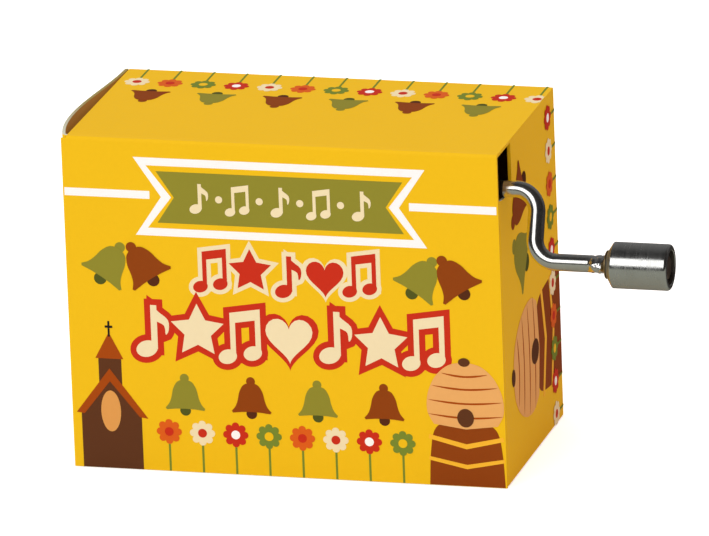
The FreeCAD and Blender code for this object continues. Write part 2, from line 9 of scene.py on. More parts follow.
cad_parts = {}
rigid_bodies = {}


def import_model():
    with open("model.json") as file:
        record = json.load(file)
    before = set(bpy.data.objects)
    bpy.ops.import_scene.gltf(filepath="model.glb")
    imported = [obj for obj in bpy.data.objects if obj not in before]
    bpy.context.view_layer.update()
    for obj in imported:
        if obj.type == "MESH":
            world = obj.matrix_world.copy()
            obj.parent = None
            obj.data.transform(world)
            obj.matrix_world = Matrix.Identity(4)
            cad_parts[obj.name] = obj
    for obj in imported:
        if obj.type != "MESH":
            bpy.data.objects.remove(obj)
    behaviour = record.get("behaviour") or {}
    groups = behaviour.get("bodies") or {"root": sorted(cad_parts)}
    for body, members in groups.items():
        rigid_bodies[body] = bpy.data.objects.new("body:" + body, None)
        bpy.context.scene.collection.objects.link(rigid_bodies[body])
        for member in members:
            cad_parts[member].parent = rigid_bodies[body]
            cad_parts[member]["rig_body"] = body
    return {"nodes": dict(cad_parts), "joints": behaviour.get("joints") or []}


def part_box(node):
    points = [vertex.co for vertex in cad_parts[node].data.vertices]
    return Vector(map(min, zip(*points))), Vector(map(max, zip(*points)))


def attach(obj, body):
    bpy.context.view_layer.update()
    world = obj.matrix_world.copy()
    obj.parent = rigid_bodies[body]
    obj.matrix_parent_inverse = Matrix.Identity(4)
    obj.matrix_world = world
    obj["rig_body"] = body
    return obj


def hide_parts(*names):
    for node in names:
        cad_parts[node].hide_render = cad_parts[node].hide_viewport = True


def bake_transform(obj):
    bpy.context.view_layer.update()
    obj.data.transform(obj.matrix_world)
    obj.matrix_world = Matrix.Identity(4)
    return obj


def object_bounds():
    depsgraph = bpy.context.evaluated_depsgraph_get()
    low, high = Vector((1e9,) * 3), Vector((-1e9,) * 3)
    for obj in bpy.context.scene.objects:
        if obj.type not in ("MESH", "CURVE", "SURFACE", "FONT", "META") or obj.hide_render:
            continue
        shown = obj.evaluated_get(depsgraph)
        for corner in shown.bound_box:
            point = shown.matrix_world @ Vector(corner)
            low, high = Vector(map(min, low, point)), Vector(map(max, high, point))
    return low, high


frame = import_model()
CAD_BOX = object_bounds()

bl_info = {
    "name": "Hand-Cranked Music Box",
    "version": (1, 0, 0),
    "blender": (4, 5, 0),
    "location": "3D View > Sidebar > Music Box",
    "description": "Builds a small hand-cranked music box in a printed card carton",
    "category": "Object",
}

# Sizes below are in millimetres, and a piece's mesh is made in millimetres until finish_piece.
MM = 0.001
BOX = {name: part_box(name) for name in frame["nodes"]}
LEFT, FRONT, _ = BOX["front_panel"][0] / MM
RIGHT, _, HEIGHT = BOX["front_panel"][1] / MM
BACK = BOX["back_panel"][1].y / MM
CARD = (BOX["front_panel"][1].y - BOX["front_panel"][0].y) / MM
DEPTH = BACK - FRONT
WIDTH = RIGHT - LEFT
DUST_LEFT = BOX["left_dust_flap_top"][0].x / MM - 0.3    # a little further out, which narrows the open gap
DUST_RIGHT = BOX["right_dust_flap"][1].x / MM
SHAFT = Vector(next(joint for joint in frame["joints"] if joint["name"] == "crank_turn")["pos_m"]) / MM
KNOB = (BOX["knob"][0] + BOX["knob"][1]) / (2 * MM)

TUCK_LEAN = math.sin(math.radians(5))   # how far a tuck flap leans inwards for each mm of its length
TUCK_CORNER = 3.0                       # leg of the left tuck flap's cut corners
TUCK_GAP_LEFT, TUCK_GAP_RIGHT = 0.3, 0.1    # from the front panel to each tuck flap's fold
NEAR_FULL = 0.98                        # share of the crease radius that leaves a line's short end whole
DUST_CORNER = 2.0                       # length of the 45 degree start of a dust flap's slanted edge
DUST_SLANT = 0.9                        # how far the rest of that edge runs for each mm of length
BOW_PEAK = 0.3                          # where along its depth the left end bulges most, from the front
BOW_RISE, BOW_FALL = 0.9, 1.84          # how the bulge grows before that place and fades after it
BOW_SLICES, BOW_LEVELS = 22, 9          # parts that the bulging panel is cut in along its depth and height
BOW_INNER, BOW_FADE = 1.4, 0.9          # where the bulge has faded out inside the panel, and over what length
NOTCH_HALF = 3.7                        # from the shaft's axis to the notch's rear edge
NOTCH_ARC = 11.7                        # radius of the notch's curved bottom
NOTCH_CLEARANCE = 0.1                   # between that bottom and the wire
NOTCH_STEPS = 10                        # straight parts that the curved bottom is cut in
ARM_OUT = 4.6                           # from the right end to the middle of the crank's arm
WING_LENGTH, WING_RISE, WING_FALL = 2.4, 0.9, 0.5   # the pinched wings, and over what lengths they spread
EDGE_SOFTENING = 0.05                   # width of the bevel on the movement's sharp edges
SMOOTH_ANGLE = math.radians(38)         # edges sharper than this are shaded hard
X_AXIS, Y_AXIS, Z_AXIS = Vector((1, 0, 0)), Vector((0, 1, 0)), Vector((0, 0, 1))


def ink(red, green, blue):
    """A printed colour given as 0 to 255 values, in the linear values that shaders use."""
    out = []
    for value in (red, green, blue):
        value /= 255
        out.append(value / 12.92 if value <= 0.04045 else ((value + 0.055) / 1.055) ** 2.4)
    return tuple(out)


def colour(name, description, value):
    """A colour that a user can change."""
    return FloatVectorProperty(name=name, description=description, subtype="COLOR", size=3,
                               min=0.0, max=1.0, default=value)


def length(name, description, value):
    """A size in millimetres, kept in metres."""
    return FloatProperty(name=name, description=description, subtype="DISTANCE", unit="LENGTH",
                         default=value * MM, precision=5)


class MusicBoxCarton(bpy.types.PropertyGroup):
    crease_radius: length("Crease radius", "Outer radius of the carton's folds", 0.45)
    ink_step: length("Ink step", "Height of one printed layer over the one below it", 0.02)
    bow: length("End bow", "How far the left end panel's top edge stands out", 1.5)
    yellow: colour("Yellow", "Ground colour of the carton", ink(243, 195, 26))
    olive: colour("Olive", "Ribbon and green bells", ink(145, 140, 48))
    bronze: colour("Bell brown", "Brown bells and the hive's stand", ink(145, 68, 16))
    timber: colour("Timber", "Chapel walls and the hive's door and knob", ink(97, 57, 32))
    roof: colour("Roof", "Roof band, spire and the hive's coils", ink(168, 74, 14))
    cream: colour("Cream", "Title shapes and cream flowers", ink(243, 228, 184))
    red: colour("Red", "Outlines and red flowers", ink(203, 49, 27))
    orange: colour("Orange", "Orange flowers", ink(222, 98, 28))
    leaf: colour("Leaf", "Stems and green flowers", ink(122, 140, 50))
    dark_olive: colour("Dark olive", "Clappers of the green bells", ink(84, 90, 34))
    dark_brown: colour("Dark brown", "Clappers of the brown bells", ink(88, 46, 24))
    peach: colour("Peach", "The hive", ink(236, 176, 104))
    window: colour("Window", "The chapel's window", ink(226, 160, 84))
    cord: colour("Cord yellow", "Bands round the hive's stand", ink(250, 190, 52))
    white: colour("White", "Printed white", ink(255, 255, 252))
    black: colour("Black", "The cross on the spire", ink(40, 34, 30))
    board: colour("Board", "Unprinted inside of the card", ink(196, 158, 96))
    core: colour("Card core", "Cut edge of the card near the front", ink(214, 220, 204))
    # The core's darker colour towards the back is painted shade.
    core_back_shade: colour("Core in painted shade", "Cut edge of the card towards the back", ink(158, 146, 88))


class MusicBoxCrank(bpy.types.PropertyGroup):
    wire_radius: length("Wire radius", "Radius of the bent wire", 1.15)
    bend_radius: length("Bend radius", "Radius of the wire's centre line in its bends", 3.0)
    wing_reach: length("Wing reach", "Half width of the pinched wings", 1.75)
    wing_half: length("Wing half thickness", "Half thickness of the pinched wings", 1.12)
    recess_radius: length("Recess radius", "Radius of the knob's recess", 2.3)
    chamfer_axial: length("Chamfer length", "Length of the chamfer at the knob's inner end", 0.8)
    chamfer_radial: length("Chamfer height", "Height of that chamfer", 1.2)
    nickel: colour("Nickel", "Bright plating of the wire", (0.84, 0.83, 0.80))
    steel: colour("Turned steel", "The knob", (0.74, 0.74, 0.72))
    rivet: colour("Rivet", "Hammered end of the wire", (0.34, 0.25, 0.19))
    brass: colour("Brass", "The pinned cylinder and the worm", (0.72, 0.53, 0.24))


class MusicBoxStage(bpy.types.PropertyGroup):
    lens: FloatProperty(name="Lens", description="Focal length in millimetres", default=609.3)
    camera_place: FloatVectorProperty(name="Camera place", description="Where the camera stands",
                                      subtype="TRANSLATION", size=3, default=(0.4165, -1.4795, 0.5177))
    camera_turn: FloatVectorProperty(
        name="Camera turn", description="The camera's turn about X, Y and Z", subtype="EULER", size=3,
        default=(math.radians(72.188), math.radians(2.004), math.radians(14.877)))
    key_power: FloatProperty(name="Key light", description="Radiant power in watts", default=12.6)
    fill: FloatProperty(name="Fill", description="Brightness of the room", default=0.63)


# ---------------------------------------------------------------- shader groups

def feed(tree, socket, value):
    """Link an input to another node's output, or set it to a number or a colour."""
    if isinstance(value, bpy.types.NodeSocket):
        tree.links.new(value, socket)
    else:
        socket.default_value = value


def add_node(tree, kind, inputs=None):
    """A shader node with some of its inputs fed, by name or by number."""
    node = tree.nodes.new("ShaderNode" + kind)
    for label, value in (inputs or {}).items():
        feed(tree, node.inputs[label], value)
    return node


def calc(tree, operation, first, second):
    """The output of a maths node; each operand is a number or an output."""
    node = add_node(tree, "Math", {0: first, 1: second})
    node.operation = operation
    return node.outputs[0]


def colour_mix(tree, factor, first, second):
    """The output of a colour mix, which goes from first to second."""
    node = tree.nodes.new("ShaderNodeMix")
    node.data_type = "RGBA"
    for slot, value in ((0, factor), (6, first), (7, second)):
        feed(tree, node.inputs[slot], value)
    return node.outputs[2]


def ramp(tree, value, low, high):
    """0 where the value is low, 1 where it is high and even between."""
    return add_node(tree, "MapRange", {"Value": value, "From Min": low, "From Max": high}).outputs["Result"]


def object_place(tree):
    """The shaded place in the piece's own coordinates."""
    return add_node(tree, "TexCoord").outputs["Object"]


def speckle(tree, place, scale, detail, roughness=0.5):
    """The value of a noise pattern."""
    return add_node(tree, "TexNoise", {"Vector": place, "Scale": scale, "Detail": detail,
                                       "Roughness": roughness}).outputs["Fac"]


def new_group(name, inputs):
    """A group that puts out colour, roughness and height; returns it, what comes in and what goes out."""
    group = bpy.data.node_groups.new(name, "ShaderNodeTree")
    for label, default in inputs.items():
        kind = "Float" if isinstance(default, float) else {3: "Vector", 4: "Color"}[len(default)]
        socket = group.interface.new_socket(label, in_out="INPUT", socket_type="NodeSocket" + kind)
        socket.default_value = default
    for label, kind in (("Colour", "Color"), ("Roughness", "Float"), ("Height", "Float")):
        group.interface.new_socket(label, in_out="OUTPUT", socket_type="NodeSocket" + kind)
    return group, group.nodes.new("NodeGroupInput").outputs, group.nodes.new("NodeGroupOutput").inputs


def card_print_group():
    """Ink on card: slight mottle in the colour, fine fibre and a dusting of paper specks."""
    group, start, end = new_group("Card print", {
        "Colour": (0.8, 0.6, 0.1, 1), "Mottle": 0.05, "Roughness": 0.45})
    place = object_place(group)
    broad = speckle(group, place, 90.0, 2.0)
    fibre = speckle(group, place, 1400.0, 4.0, 0.6)
    specks = speckle(group, place, 3600.0, 1.0)
    swing = calc(group, "MULTIPLY", calc(group, "SUBTRACT", broad, 0.5), start["Mottle"])
    fine = calc(group, "SUBTRACT", fibre, 0.5)
    value = calc(group, "ADD", calc(group, "ADD", swing, calc(group, "MULTIPLY", fine, 0.05)), 1.0)
    shade = add_node(group, "HueSaturation", {"Color": start["Colour"], "Value": value})
    feed(group, end["Colour"], shade.outputs["Color"])
    feed(group, end["Roughness"], calc(group, "ADD", start["Roughness"], calc(group, "MULTIPLY", fine, 0.16)))
    feed(group, end["Height"], calc(group, "ADD", fibre, calc(group, "MULTIPLY", specks, 0.5)))
    return group


def metal_wear_group():
    """Metal with fine lines across one axis and patches of tarnish that are also rougher."""
    group, start, end = new_group("Metal wear", {
        "Colour": (0.7, 0.7, 0.7, 1), "Tarnish": (0.3, 0.28, 0.25, 1), "Stain": 0.3, "Roughness": 0.25,
        "Lines": 0.1, "Stretch": (1.0, 0.02, 0.02)})
    place = object_place(group)
    stretch = add_node(group, "VectorMath", {0: place, 1: start["Stretch"]})
    stretch.operation = "MULTIPLY"
    lines = speckle(group, stretch.outputs[0], 9000.0, 2.0)
    stains = speckle(group, place, 420.0, 5.0, 0.65)
    amount = calc(group, "MULTIPLY", ramp(group, stains, 0.5, 0.8), start["Stain"])
    feed(group, end["Colour"], colour_mix(group, amount, start["Colour"], start["Tarnish"]))
    streak = calc(group, "MULTIPLY", calc(group, "SUBTRACT", lines, 0.5), start["Lines"])
    rough = calc(group, "ADD", start["Roughness"], streak)
    feed(group, end["Roughness"], calc(group, "ADD", rough, calc(group, "MULTIPLY", amount, 0.35)))
    feed(group, end["Height"], lines)
    return group


GROUPS = {}
MATERIALS = {}


def grouped_material(name, maker, bump_strength, bump_distance, values):
    """A material whose colour, roughness and bump come from a shader group; returns its shader."""
    if maker not in GROUPS:
        GROUPS[maker] = maker()
    material = MATERIALS[name] = bpy.data.materials.new(name)
    material.use_nodes = True
    tree = material.node_tree
    shader = tree.nodes["Principled BSDF"]
    source = tree.nodes.new("ShaderNodeGroup")
    source.node_tree = GROUPS[maker]
    for label, value in values.items():
        feed(tree, source.inputs[label], value)
    bump = add_node(tree, "Bump", {"Strength": bump_strength, "Distance": bump_distance,
                                   "Height": source.outputs["Height"]})
    for label, socket in (("Base Color", source.outputs["Colour"]), ("Normal", bump.outputs["Normal"]),
                          ("Roughness", source.outputs["Roughness"])):
        feed(tree, shader.inputs[label], socket)
    return shader


def card_material(name, value, roughness=0.5, mottle=0.03, gloss=0.06):
    """Card, plastic or foam in one colour."""
    if name not in MATERIALS:
        shader = grouped_material(name, card_print_group, 0.10, 0.00004, {
            "Colour": (*value, 1), "Mottle": mottle, "Roughness": roughness})
        shader.inputs["Specular IOR Level"].default_value = gloss
    return MATERIALS[name]


def metal_material(name, value, tarnish, roughness, stain=0.25, lines=0.1, stretch=(1.0, 0.02, 0.02),
                   bump=0.08):
    """A bare or plated metal."""
    if name not in MATERIALS:
        shader = grouped_material(name, metal_wear_group, bump, 0.00003, {
            "Colour": (*value, 1), "Tarnish": (*tarnish, 1), "Stain": stain, "Roughness": roughness,
            "Lines": lines, "Stretch": stretch})
        shader.inputs["Metallic"].default_value = 1.0
    return MATERIALS[name]


def core_material(pale, back_shade):
    """The cut edge of the card: pale near the front and darker towards the back, a painted shade."""
    if "card core" not in MATERIALS:
        tree = card_material("card core", pale, 0.75, 0.12, 0.1).node_tree
        place = add_node(tree, "SeparateXYZ", {0: object_place(tree)})
        # Blend from the pale core at the front to the darker core from the middle back: painted shade towards
        # the back.
        depth = ramp(tree, place.outputs["Y"], FRONT * MM, 0.0)
        source = next(node for node in tree.nodes if node.type == "GROUP")
        feed(tree, source.inputs["Colour"], colour_mix(tree, depth, (*pale, 1), (*back_shade, 1)))
    return MATERIALS["card core"]


# ---------------------------------------------------------------- pieces

def add_object(name, data):
    """An object for the data, in the scene."""
    thing = bpy.data.objects.new(name, data)
    bpy.context.scene.collection.objects.link(thing)
    return thing


def finish_piece(name, bm, materials, body=None, replaces=(), flat_above=None):
    """Turn a bmesh in millimetres into a piece that rides on a body."""
    bmesh.ops.scale(bm, vec=(MM, MM, MM), verts=bm.verts)
    mesh = bpy.data.meshes.new(name)
    for face in bm.faces:
        face.smooth = flat_above is None or face.calc_area() < flat_above * MM * MM
    for edge in bm.edges:
        if len(edge.link_faces) == 2 and edge.calc_face_angle(0) > SMOOTH_ANGLE:
            edge.smooth = False
    bm.to_mesh(mesh)
    bm.free()
    for material in materials:
        mesh.materials.append(material)
    piece = add_object(name, mesh)
    if body:
        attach(piece, body)
    if replaces:
        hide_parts(*replaces)
    return piece


def card_piece(name, bm, body=None, replaces=(), flat_above=None):
    """Turn a bmesh with print, cut edges and inside as materials 0, 1 and 2 into a card piece."""
    carton = bpy.context.scene.music_box_carton
    finishes = [card_material("printed yellow", carton.yellow),
                core_material(carton.core, carton.core_back_shade),
                card_material("bare board", carton.board, 0.85, 0.16, 0.1)]
    return finish_piece(name, bm, finishes, body, replaces, flat_above)


def line_of(bm, points):
    """A chain of vertices and edges through the points."""
    verts = [bm.verts.new(point) for point in points]
    edges = [bm.edges.new(pair) for pair in zip(verts, verts[1:])]
    return verts, edges


def folded_sheet(points, folds, radius, run, segments=6):
    """A sheet drawn out along run from an open line whose numbered corners are rounded folds."""
    bm = bmesh.new()
    verts, _ = line_of(bm, points)
    bmesh.ops.bevel(bm, geom=[verts[n] for n in folds], offset=radius, offset_type="OFFSET",
                    segments=segments, profile=0.5, material=-1, affect="VERTICES")
    out = bmesh.ops.extrude_edge_only(bm, edges=list(bm.edges))
    moved = [item for item in out["geom"] if isinstance(item, bmesh.types.BMVert)]
    bmesh.ops.translate(bm, verts=moved, vec=run)
    bmesh.ops.recalc_face_normals(bm, faces=bm.faces)
    return bm


def slice_sheet(bm, place, normal, clear_outer=False):
    """Cut every face along a plane, keeping both sides or only the one that the normal points away from."""
    geometry = list(bm.verts) + list(bm.edges) + list(bm.faces)
    bmesh.ops.bisect_plane(bm, geom=geometry, plane_co=place, plane_no=normal, dist=1e-5,
                           clear_outer=clear_outer)


def slice_at(bm, axis, *places):
    """Cut every face square to an axis at each place along it."""
    for place in places:
        slice_sheet(bm, axis * place, axis)


def drop_faces(bm, test):
    """Delete the faces whose centre and normal pass a test."""
    doomed = [face for face in bm.faces if test(face.calc_center_median(), face.normal)]
    bmesh.ops.delete(bm, geom=doomed, context="FACES")


def thicken(bm, outer_test, bare_rim=None):
    """Thicken a sheet behind its print; material 0 is print, 1 the cut edge and 2 the inside."""
    bm.normal_update()
    flips = [face for face in bm.faces if not outer_test(face.calc_center_median(), face.normal)]
    if len(flips) * 2 > len(bm.faces):
        bmesh.ops.reverse_faces(bm, faces=bm.faces)
        bm.normal_update()
    outside = set(bm.faces)
    bmesh.ops.solidify(bm, geom=list(bm.faces), thickness=CARD)
    bm.normal_update()
    for face in bm.faces:
        if face in outside:
            face.material_index = 0
        elif is_rim(face, outside):
            bare = bare_rim is None or bare_rim(face.calc_center_median(), face.normal)
            face.material_index = 1 if bare else 0
        else:
            face.material_index = 2


def is_rim(face, outside):
    """True for a narrow face that joins the printed side to the inside."""
    return (len(face.verts) == 4 and min(edge.calc_length() for edge in face.edges) < CARD * 1.05
            and any(other in outside for edge in face.edges for other in edge.link_faces if other != face))


class MUSICBOX_OT_carton_sleeve(bpy.types.Operator):
    """Fold the carton's four walls and its glue flap out of one sheet"""
    bl_idname = "music_box.carton_sleeve"
    bl_label = "Carton sleeve"

    def execute(self, context):
        fold = context.scene.music_box_carton.crease_radius / MM
        flap_y = FRONT + CARD + 0.02
        flap_half, _, flap_top = BOX["glue_flap"][1] / MM
        profile = [
            (LEFT, flap_y, flap_top), (LEFT, flap_y, 0), (LEFT, BACK, 0),
            (LEFT, BACK, HEIGHT), (LEFT, FRONT, HEIGHT), (LEFT, FRONT, 0),
        ]
        bm = folded_sheet(profile, (1, 2, 3, 4), fold, (WIDTH, 0, 0))
        slice_at(bm, X_AXIS, DUST_LEFT, DUST_RIGHT, -flap_half, flap_half, LEFT + fold, RIGHT - fold)
        drop_faces(bm, lambda c, n: abs(c.x) > flap_half and FRONT + CARD / 2 < c.y < FRONT + 2 * CARD
                   and c.z < flap_top and abs(n.y) > 0.7)
        drop_faces(bm, lambda c, n: c.z < CARD and abs(n.z) > 0.5 and abs(c.x) > DUST_RIGHT)
        drop_faces(bm, lambda c, n: c.z > HEIGHT - CARD and abs(n.z) > 0.5 and c.x < DUST_LEFT)
        drop_faces(bm, lambda c, n: c.y > BACK - CARD and abs(c.x) > RIGHT - fold)
        thicken(bm, lambda c, n: n.dot(Vector((0, c.y, c.z - HEIGHT / 2))) > 0,
                lambda c, n: n.x < 0.5 and not (n.x < -0.5 and c.z > 2))
        card_piece("carton_sleeve", bm, "carton",
                   ("front_panel", "top_panel", "back_panel", "bottom_panel", "glue_flap"), 2.0)
        return {"FINISHED"}


def end_bow(y, z):
    """How far the left end panel stands out at a place; most at its top edge."""
    bow = bpy.context.scene.music_box_carton.bow / MM
    low = FRONT + 1.0
    share = min(max((y - low) / (BACK - CARD - low), 0.0), 1.0)
    peak = BOW_PEAK ** BOW_RISE * (1 - BOW_PEAK) ** BOW_FALL
    return bow * (z / HEIGHT) * share ** BOW_RISE * (1 - share) ** BOW_FALL / peak


class MUSICBOX_OT_left_end(bpy.types.Operator):
    """Shape the left end: the bulging panel with its tuck flap, the back crease and two dust flaps"""
    bl_idname = "music_box.left_end"
    bl_label = "Left end"

    def execute(self, context):
        fold = context.scene.music_box_carton.crease_radius / MM
        low, high = (corner.z / MM for corner in BOX["left_end_panel"])
        tuck_y = FRONT + CARD + TUCK_GAP_LEFT
        tuck_end = BOX["left_tuck_flap"][1].x / MM
        near_panel = LEFT + 1.2
        profile = [
            (LEFT, BACK - fold, low), (LEFT, tuck_y, low),
            (tuck_end, tuck_y + (tuck_end - LEFT) * TUCK_LEAN, low),
        ]
        bm = folded_sheet(profile, (1,), fold * 1.4, (0, 0, high - low))
        slice_at(bm, Y_AXIS, *(tuck_y + step * (BACK - tuck_y) / BOW_SLICES for step in range(1, BOW_SLICES)))
        slice_at(bm, Z_AXIS, *(low + step * (high - low) / BOW_LEVELS for step in range(1, BOW_LEVELS)))
        slice_at(bm, X_AXIS, near_panel, tuck_end - TUCK_CORNER)
        for edge_z, inwards in zip((corner.z / MM for corner in BOX["left_tuck_flap"]), (1, -1)):
            slice_at(bm, Z_AXIS, edge_z)
            drop_faces(bm, lambda c, n: c.x > near_panel and (c.z - edge_z) * inwards < 0)
            slice_sheet(bm, (tuck_end, 0, edge_z + inwards * TUCK_CORNER), (1, 0, inwards))
            drop_faces(bm, lambda c, n: c.x > tuck_end - TUCK_CORNER
                       and (c.z - edge_z) * inwards - TUCK_CORNER < c.x - tuck_end)
        thicken(bm, lambda c, n: n.x < 0 or (abs(n.x) < 0.3 and n.y < 0))
        for vert in bm.verts:
            fade = min(max((LEFT + BOW_INNER - vert.co.x) / BOW_FADE, 0.0), 1.0)
            vert.co.x -= fade * end_bow(vert.co.y, vert.co.z)
        panel = card_piece("left_end_card", bm, None, ("left_end_panel", "left_tuck_flap"))
        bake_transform(panel)
        crease = folded_sheet([(LEFT + fold, BACK, low), (LEFT, BACK, low), (LEFT, BACK - fold, low)],
                              (1,), fold * NEAR_FULL, (0, 0, high - low), 8)
        thicken(crease, lambda c, n: n.dot(Vector((c.x - LEFT - fold, c.y - BACK + fold, 0))) > 0)
        crease = card_piece("left_back_crease", crease)
        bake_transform(crease)
        for name, fold_z, inwards in (("top", HEIGHT, -1), ("bottom", 0.0, 1)):
            body, node = "left_dust_" + name, "left_dust_flap_" + name
            bm = dust_flap_mesh(node, DUST_LEFT, -1, fold_z, inwards, fold)
            flap = card_piece(body + "_card", bm, None, (node,))
            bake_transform(flap)
        return {"FINISHED"}


def dust_flap_mesh(node, x_face, side, fold_z, inwards, fold):
    """A dust flap: a quarter fold off the top or bottom panel, then the flap with one slanted edge."""
    front, back = (corner.y / MM for corner in BOX[node])
    tip = fold_z + inwards * (BOX[node][1].z - BOX[node][0].z) / MM
    bm = folded_sheet([(x_face - side * fold, front, fold_z), (x_face, front, fold_z), (x_face, front, tip)],
                      (1,), fold * NEAR_FULL, (0, back - front, 0))
    slice_at(bm, Z_AXIS, fold_z + inwards * DUST_CORNER)
    slice_sheet(bm, (0, back, fold_z), (0, 1, inwards))
    drop_faces(bm, lambda c, n: back - c.y < (c.z - fold_z) * inwards - 1e-3
               and (c.z - fold_z) * inwards < DUST_CORNER)
    bend_y = back - DUST_CORNER
    slice_sheet(bm, (0, bend_y, fold_z + inwards * DUST_CORNER), (0, 1, inwards * DUST_SLANT))
    drop_faces(bm, lambda c, n: bend_y - c.y < DUST_SLANT * ((c.z - fold_z) * inwards - DUST_CORNER) - 1e-3
               and (c.z - fold_z) * inwards > DUST_CORNER)
    thicken(bm, lambda c, n: n.x * side > 0 or (abs(n.x) < 0.3 and n.z * inwards < 0))
    return bm


class MUSICBOX_OT_right_end(bpy.types.Operator):
    """Shape the right end: the flat panel with the crank's notch, its tuck flap and its lower dust flap"""
    bl_idname = "music_box.right_end"
    bl_label = "Right end"

    def execute(self, context):
        fold = context.scene.music_box_carton.crease_radius / MM
        low, high = (corner.z / MM for corner in BOX["right_end_panel"])
        tuck_y = FRONT + CARD + TUCK_GAP_RIGHT
        tuck_end = BOX["right_tuck_flap"][0].x / MM
        profile = [
            (RIGHT - fold, BACK, low), (RIGHT, BACK, low), (RIGHT, tuck_y, low),
            (tuck_end, tuck_y + (RIGHT - tuck_end) * TUCK_LEAN, low),
        ]
        bm = folded_sheet(profile, (1, 2), fold * NEAR_FULL, (0, 0, high - low), 8)
        notch_back = SHAFT.y + NOTCH_HALF
        lowest = SHAFT.z - context.scene.music_box_crank.wire_radius / MM - NOTCH_CLEARANCE

        def notch_height(y):
            return lowest + NOTCH_ARC - math.sqrt(NOTCH_ARC ** 2 - (y - SHAFT.y) ** 2)

        slice_at(bm, Y_AXIS, notch_back)
        for step in range(NOTCH_STEPS):
            off_axis = ((step + 0.5) / NOTCH_STEPS * 2 - 1) * NOTCH_HALF
            y = SHAFT.y + off_axis
            tilt = off_axis / NOTCH_ARC
            slice_band(bm, y, NOTCH_HALF / NOTCH_STEPS, (0, y, notch_height(y)), (0, -tilt, 1))
        floor = notch_height(tuck_y)
        slice_at(bm, Z_AXIS, floor)
        drop_faces(bm, lambda c, n: c.y < notch_back and c.z > notch_height(c.y) and c.x > RIGHT - 1)
        drop_faces(bm, lambda c, n: c.x < RIGHT - 1 and c.y < 0 and (c.z > floor or c.z < 1.0))
        thicken(bm, lambda c, n: n.x > 0 or (abs(n.x) < 0.3 and n.y < 0),
                lambda c, n: n.z > 0.7 and c.z < lowest + 2)
        card_piece("right_end_card", bm, "carton", ("right_end_panel", "right_tuck_flap"), 2.0)
        flap = dust_flap_mesh("right_dust_flap", DUST_RIGHT, 1, 0.0, 1, fold)
        card_piece("right_dust_card", flap, "carton", ("right_dust_flap",), 2.0)
        return {"FINISHED"}


def slice_band(bm, y, half, place, normal):
    """Cut only the end panel's faces within a narrow band of depth along a tilted plane."""
    slice_at(bm, Y_AXIS, y - half, y + half)
    geometry = set()
    for face in bm.faces:
        centre = face.calc_center_median()
        if abs(centre.y - y) < half and centre.x > RIGHT - 1:
            geometry.update([face], face.edges, face.verts)
    bmesh.ops.bisect_plane(bm, geom=list(geometry), plane_co=place, plane_no=normal, dist=1e-5)


# ---------------------------------------------------------------- printed art

def placed(points, u=0.0, v=0.0, turn=0.0, scale=1.0):
    """The points turned by some degrees, scaled, and moved to a place."""
    c, s = math.cos(math.radians(turn)) * scale, math.sin(math.radians(turn)) * scale
    return [(u + c * x - s * y, v + s * x + c * y) for x, y in points]


def mirrored(points):
    """A half outline, from the top down on the right side, completed on the left side."""
    return points + [(-x, y) for x, y in reversed(points) if x > 1e-6]


def smooth_line(points, steps=5, closed=False):
    """A soft curve through the points."""
    count = len(points)
    out = []
    for n in range(count if closed else count - 1):
        if closed:
            a, b, c, d = (points[(n + k) % count] for k in (-1, 0, 1, 2))
        else:
            a, b, c, d = (points[min(max(n + k, 0), count - 1)] for k in (-1, 0, 1, 2))
        for step in range(steps):
            t = step / steps
            out.append(tuple(0.5 * (2 * q + (r - p) * t + (2 * p - 5 * q + 4 * r - s) * t * t
                                    + (3 * q - p - 3 * r + s) * t ** 3)
                             for p, q, r, s in zip(a, b, c, d)))
    if not closed:
        out.append(points[-1])
    return out


def oval(radius_u, radius_v=None, count=28, u=0.0, v=0.0):
    """Points round an oval, or round a circle when only one radius is given."""
    radius_v = radius_v or radius_u
    return [(u + radius_u * math.cos(k * math.tau / count), v + radius_v * math.sin(k * math.tau / count))
            for k in range(count)]


def bar(u0, u1, v0, v1):
    """An upright rectangle between two places across and two heights."""
    return [(u0, v0), (u1, v0), (u1, v1), (u0, v1)]


def grown(points, margin):
    """The outline pushed outwards by a margin, with its corners kept."""
    count = len(points)
    area = sum(points[k][0] * points[(k + 1) % count][1] - points[(k + 1) % count][0] * points[k][1]
               for k in range(count))
    turn = 1 if area > 0 else -1
    out = []
    for k in range(count):
        before, here, after = (Vector(points[(k + d) % count]) for d in (-1, 0, 1))
        first, second = (here - before).normalized(), (after - here).normalized()
        normal_1, normal_2 = (Vector((way.y, -way.x)) * turn for way in (first, second))
        push = (normal_1 + normal_2) / max(1 + normal_1.dot(normal_2), 0.45)
        out.append(tuple(here + push * margin))
    return out


def petals(count, distance, radius, steps=7):
    """The joined outline of round petals set in a ring."""
    out = []
    half = math.pi / count
    for k in range(count):
        for step in range(steps):
            angle = -half + 2 * half * step / steps
            reach = distance * math.cos(angle) + math.sqrt(radius ** 2 - (distance * math.sin(angle)) ** 2)
            whole = k * 2 * half + angle
            out.append((reach * math.cos(whole), reach * math.sin(whole)))
    return out


def star(radius, points=5, inner=0.5):
    """A star with one point up."""
    reaches = [radius if k % 2 == 0 else radius * inner for k in range(points * 2)]
    angles = [math.pi / 2 + k * math.pi / points for k in range(points * 2)]
    return [(reach * math.cos(angle), reach * math.sin(angle)) for reach, angle in zip(reaches, angles)]


def heart(scale):
    """A heart about two units wide and two high."""
    out = []
    for k in range(36):
        t = k * math.tau / 36
        rise = 13 * math.cos(t) - 5 * math.cos(2 * t) - 2 * math.cos(3 * t) - math.cos(4 * t)
        out.append((scale * math.sin(t) ** 3, scale * rise / 15))
    return out


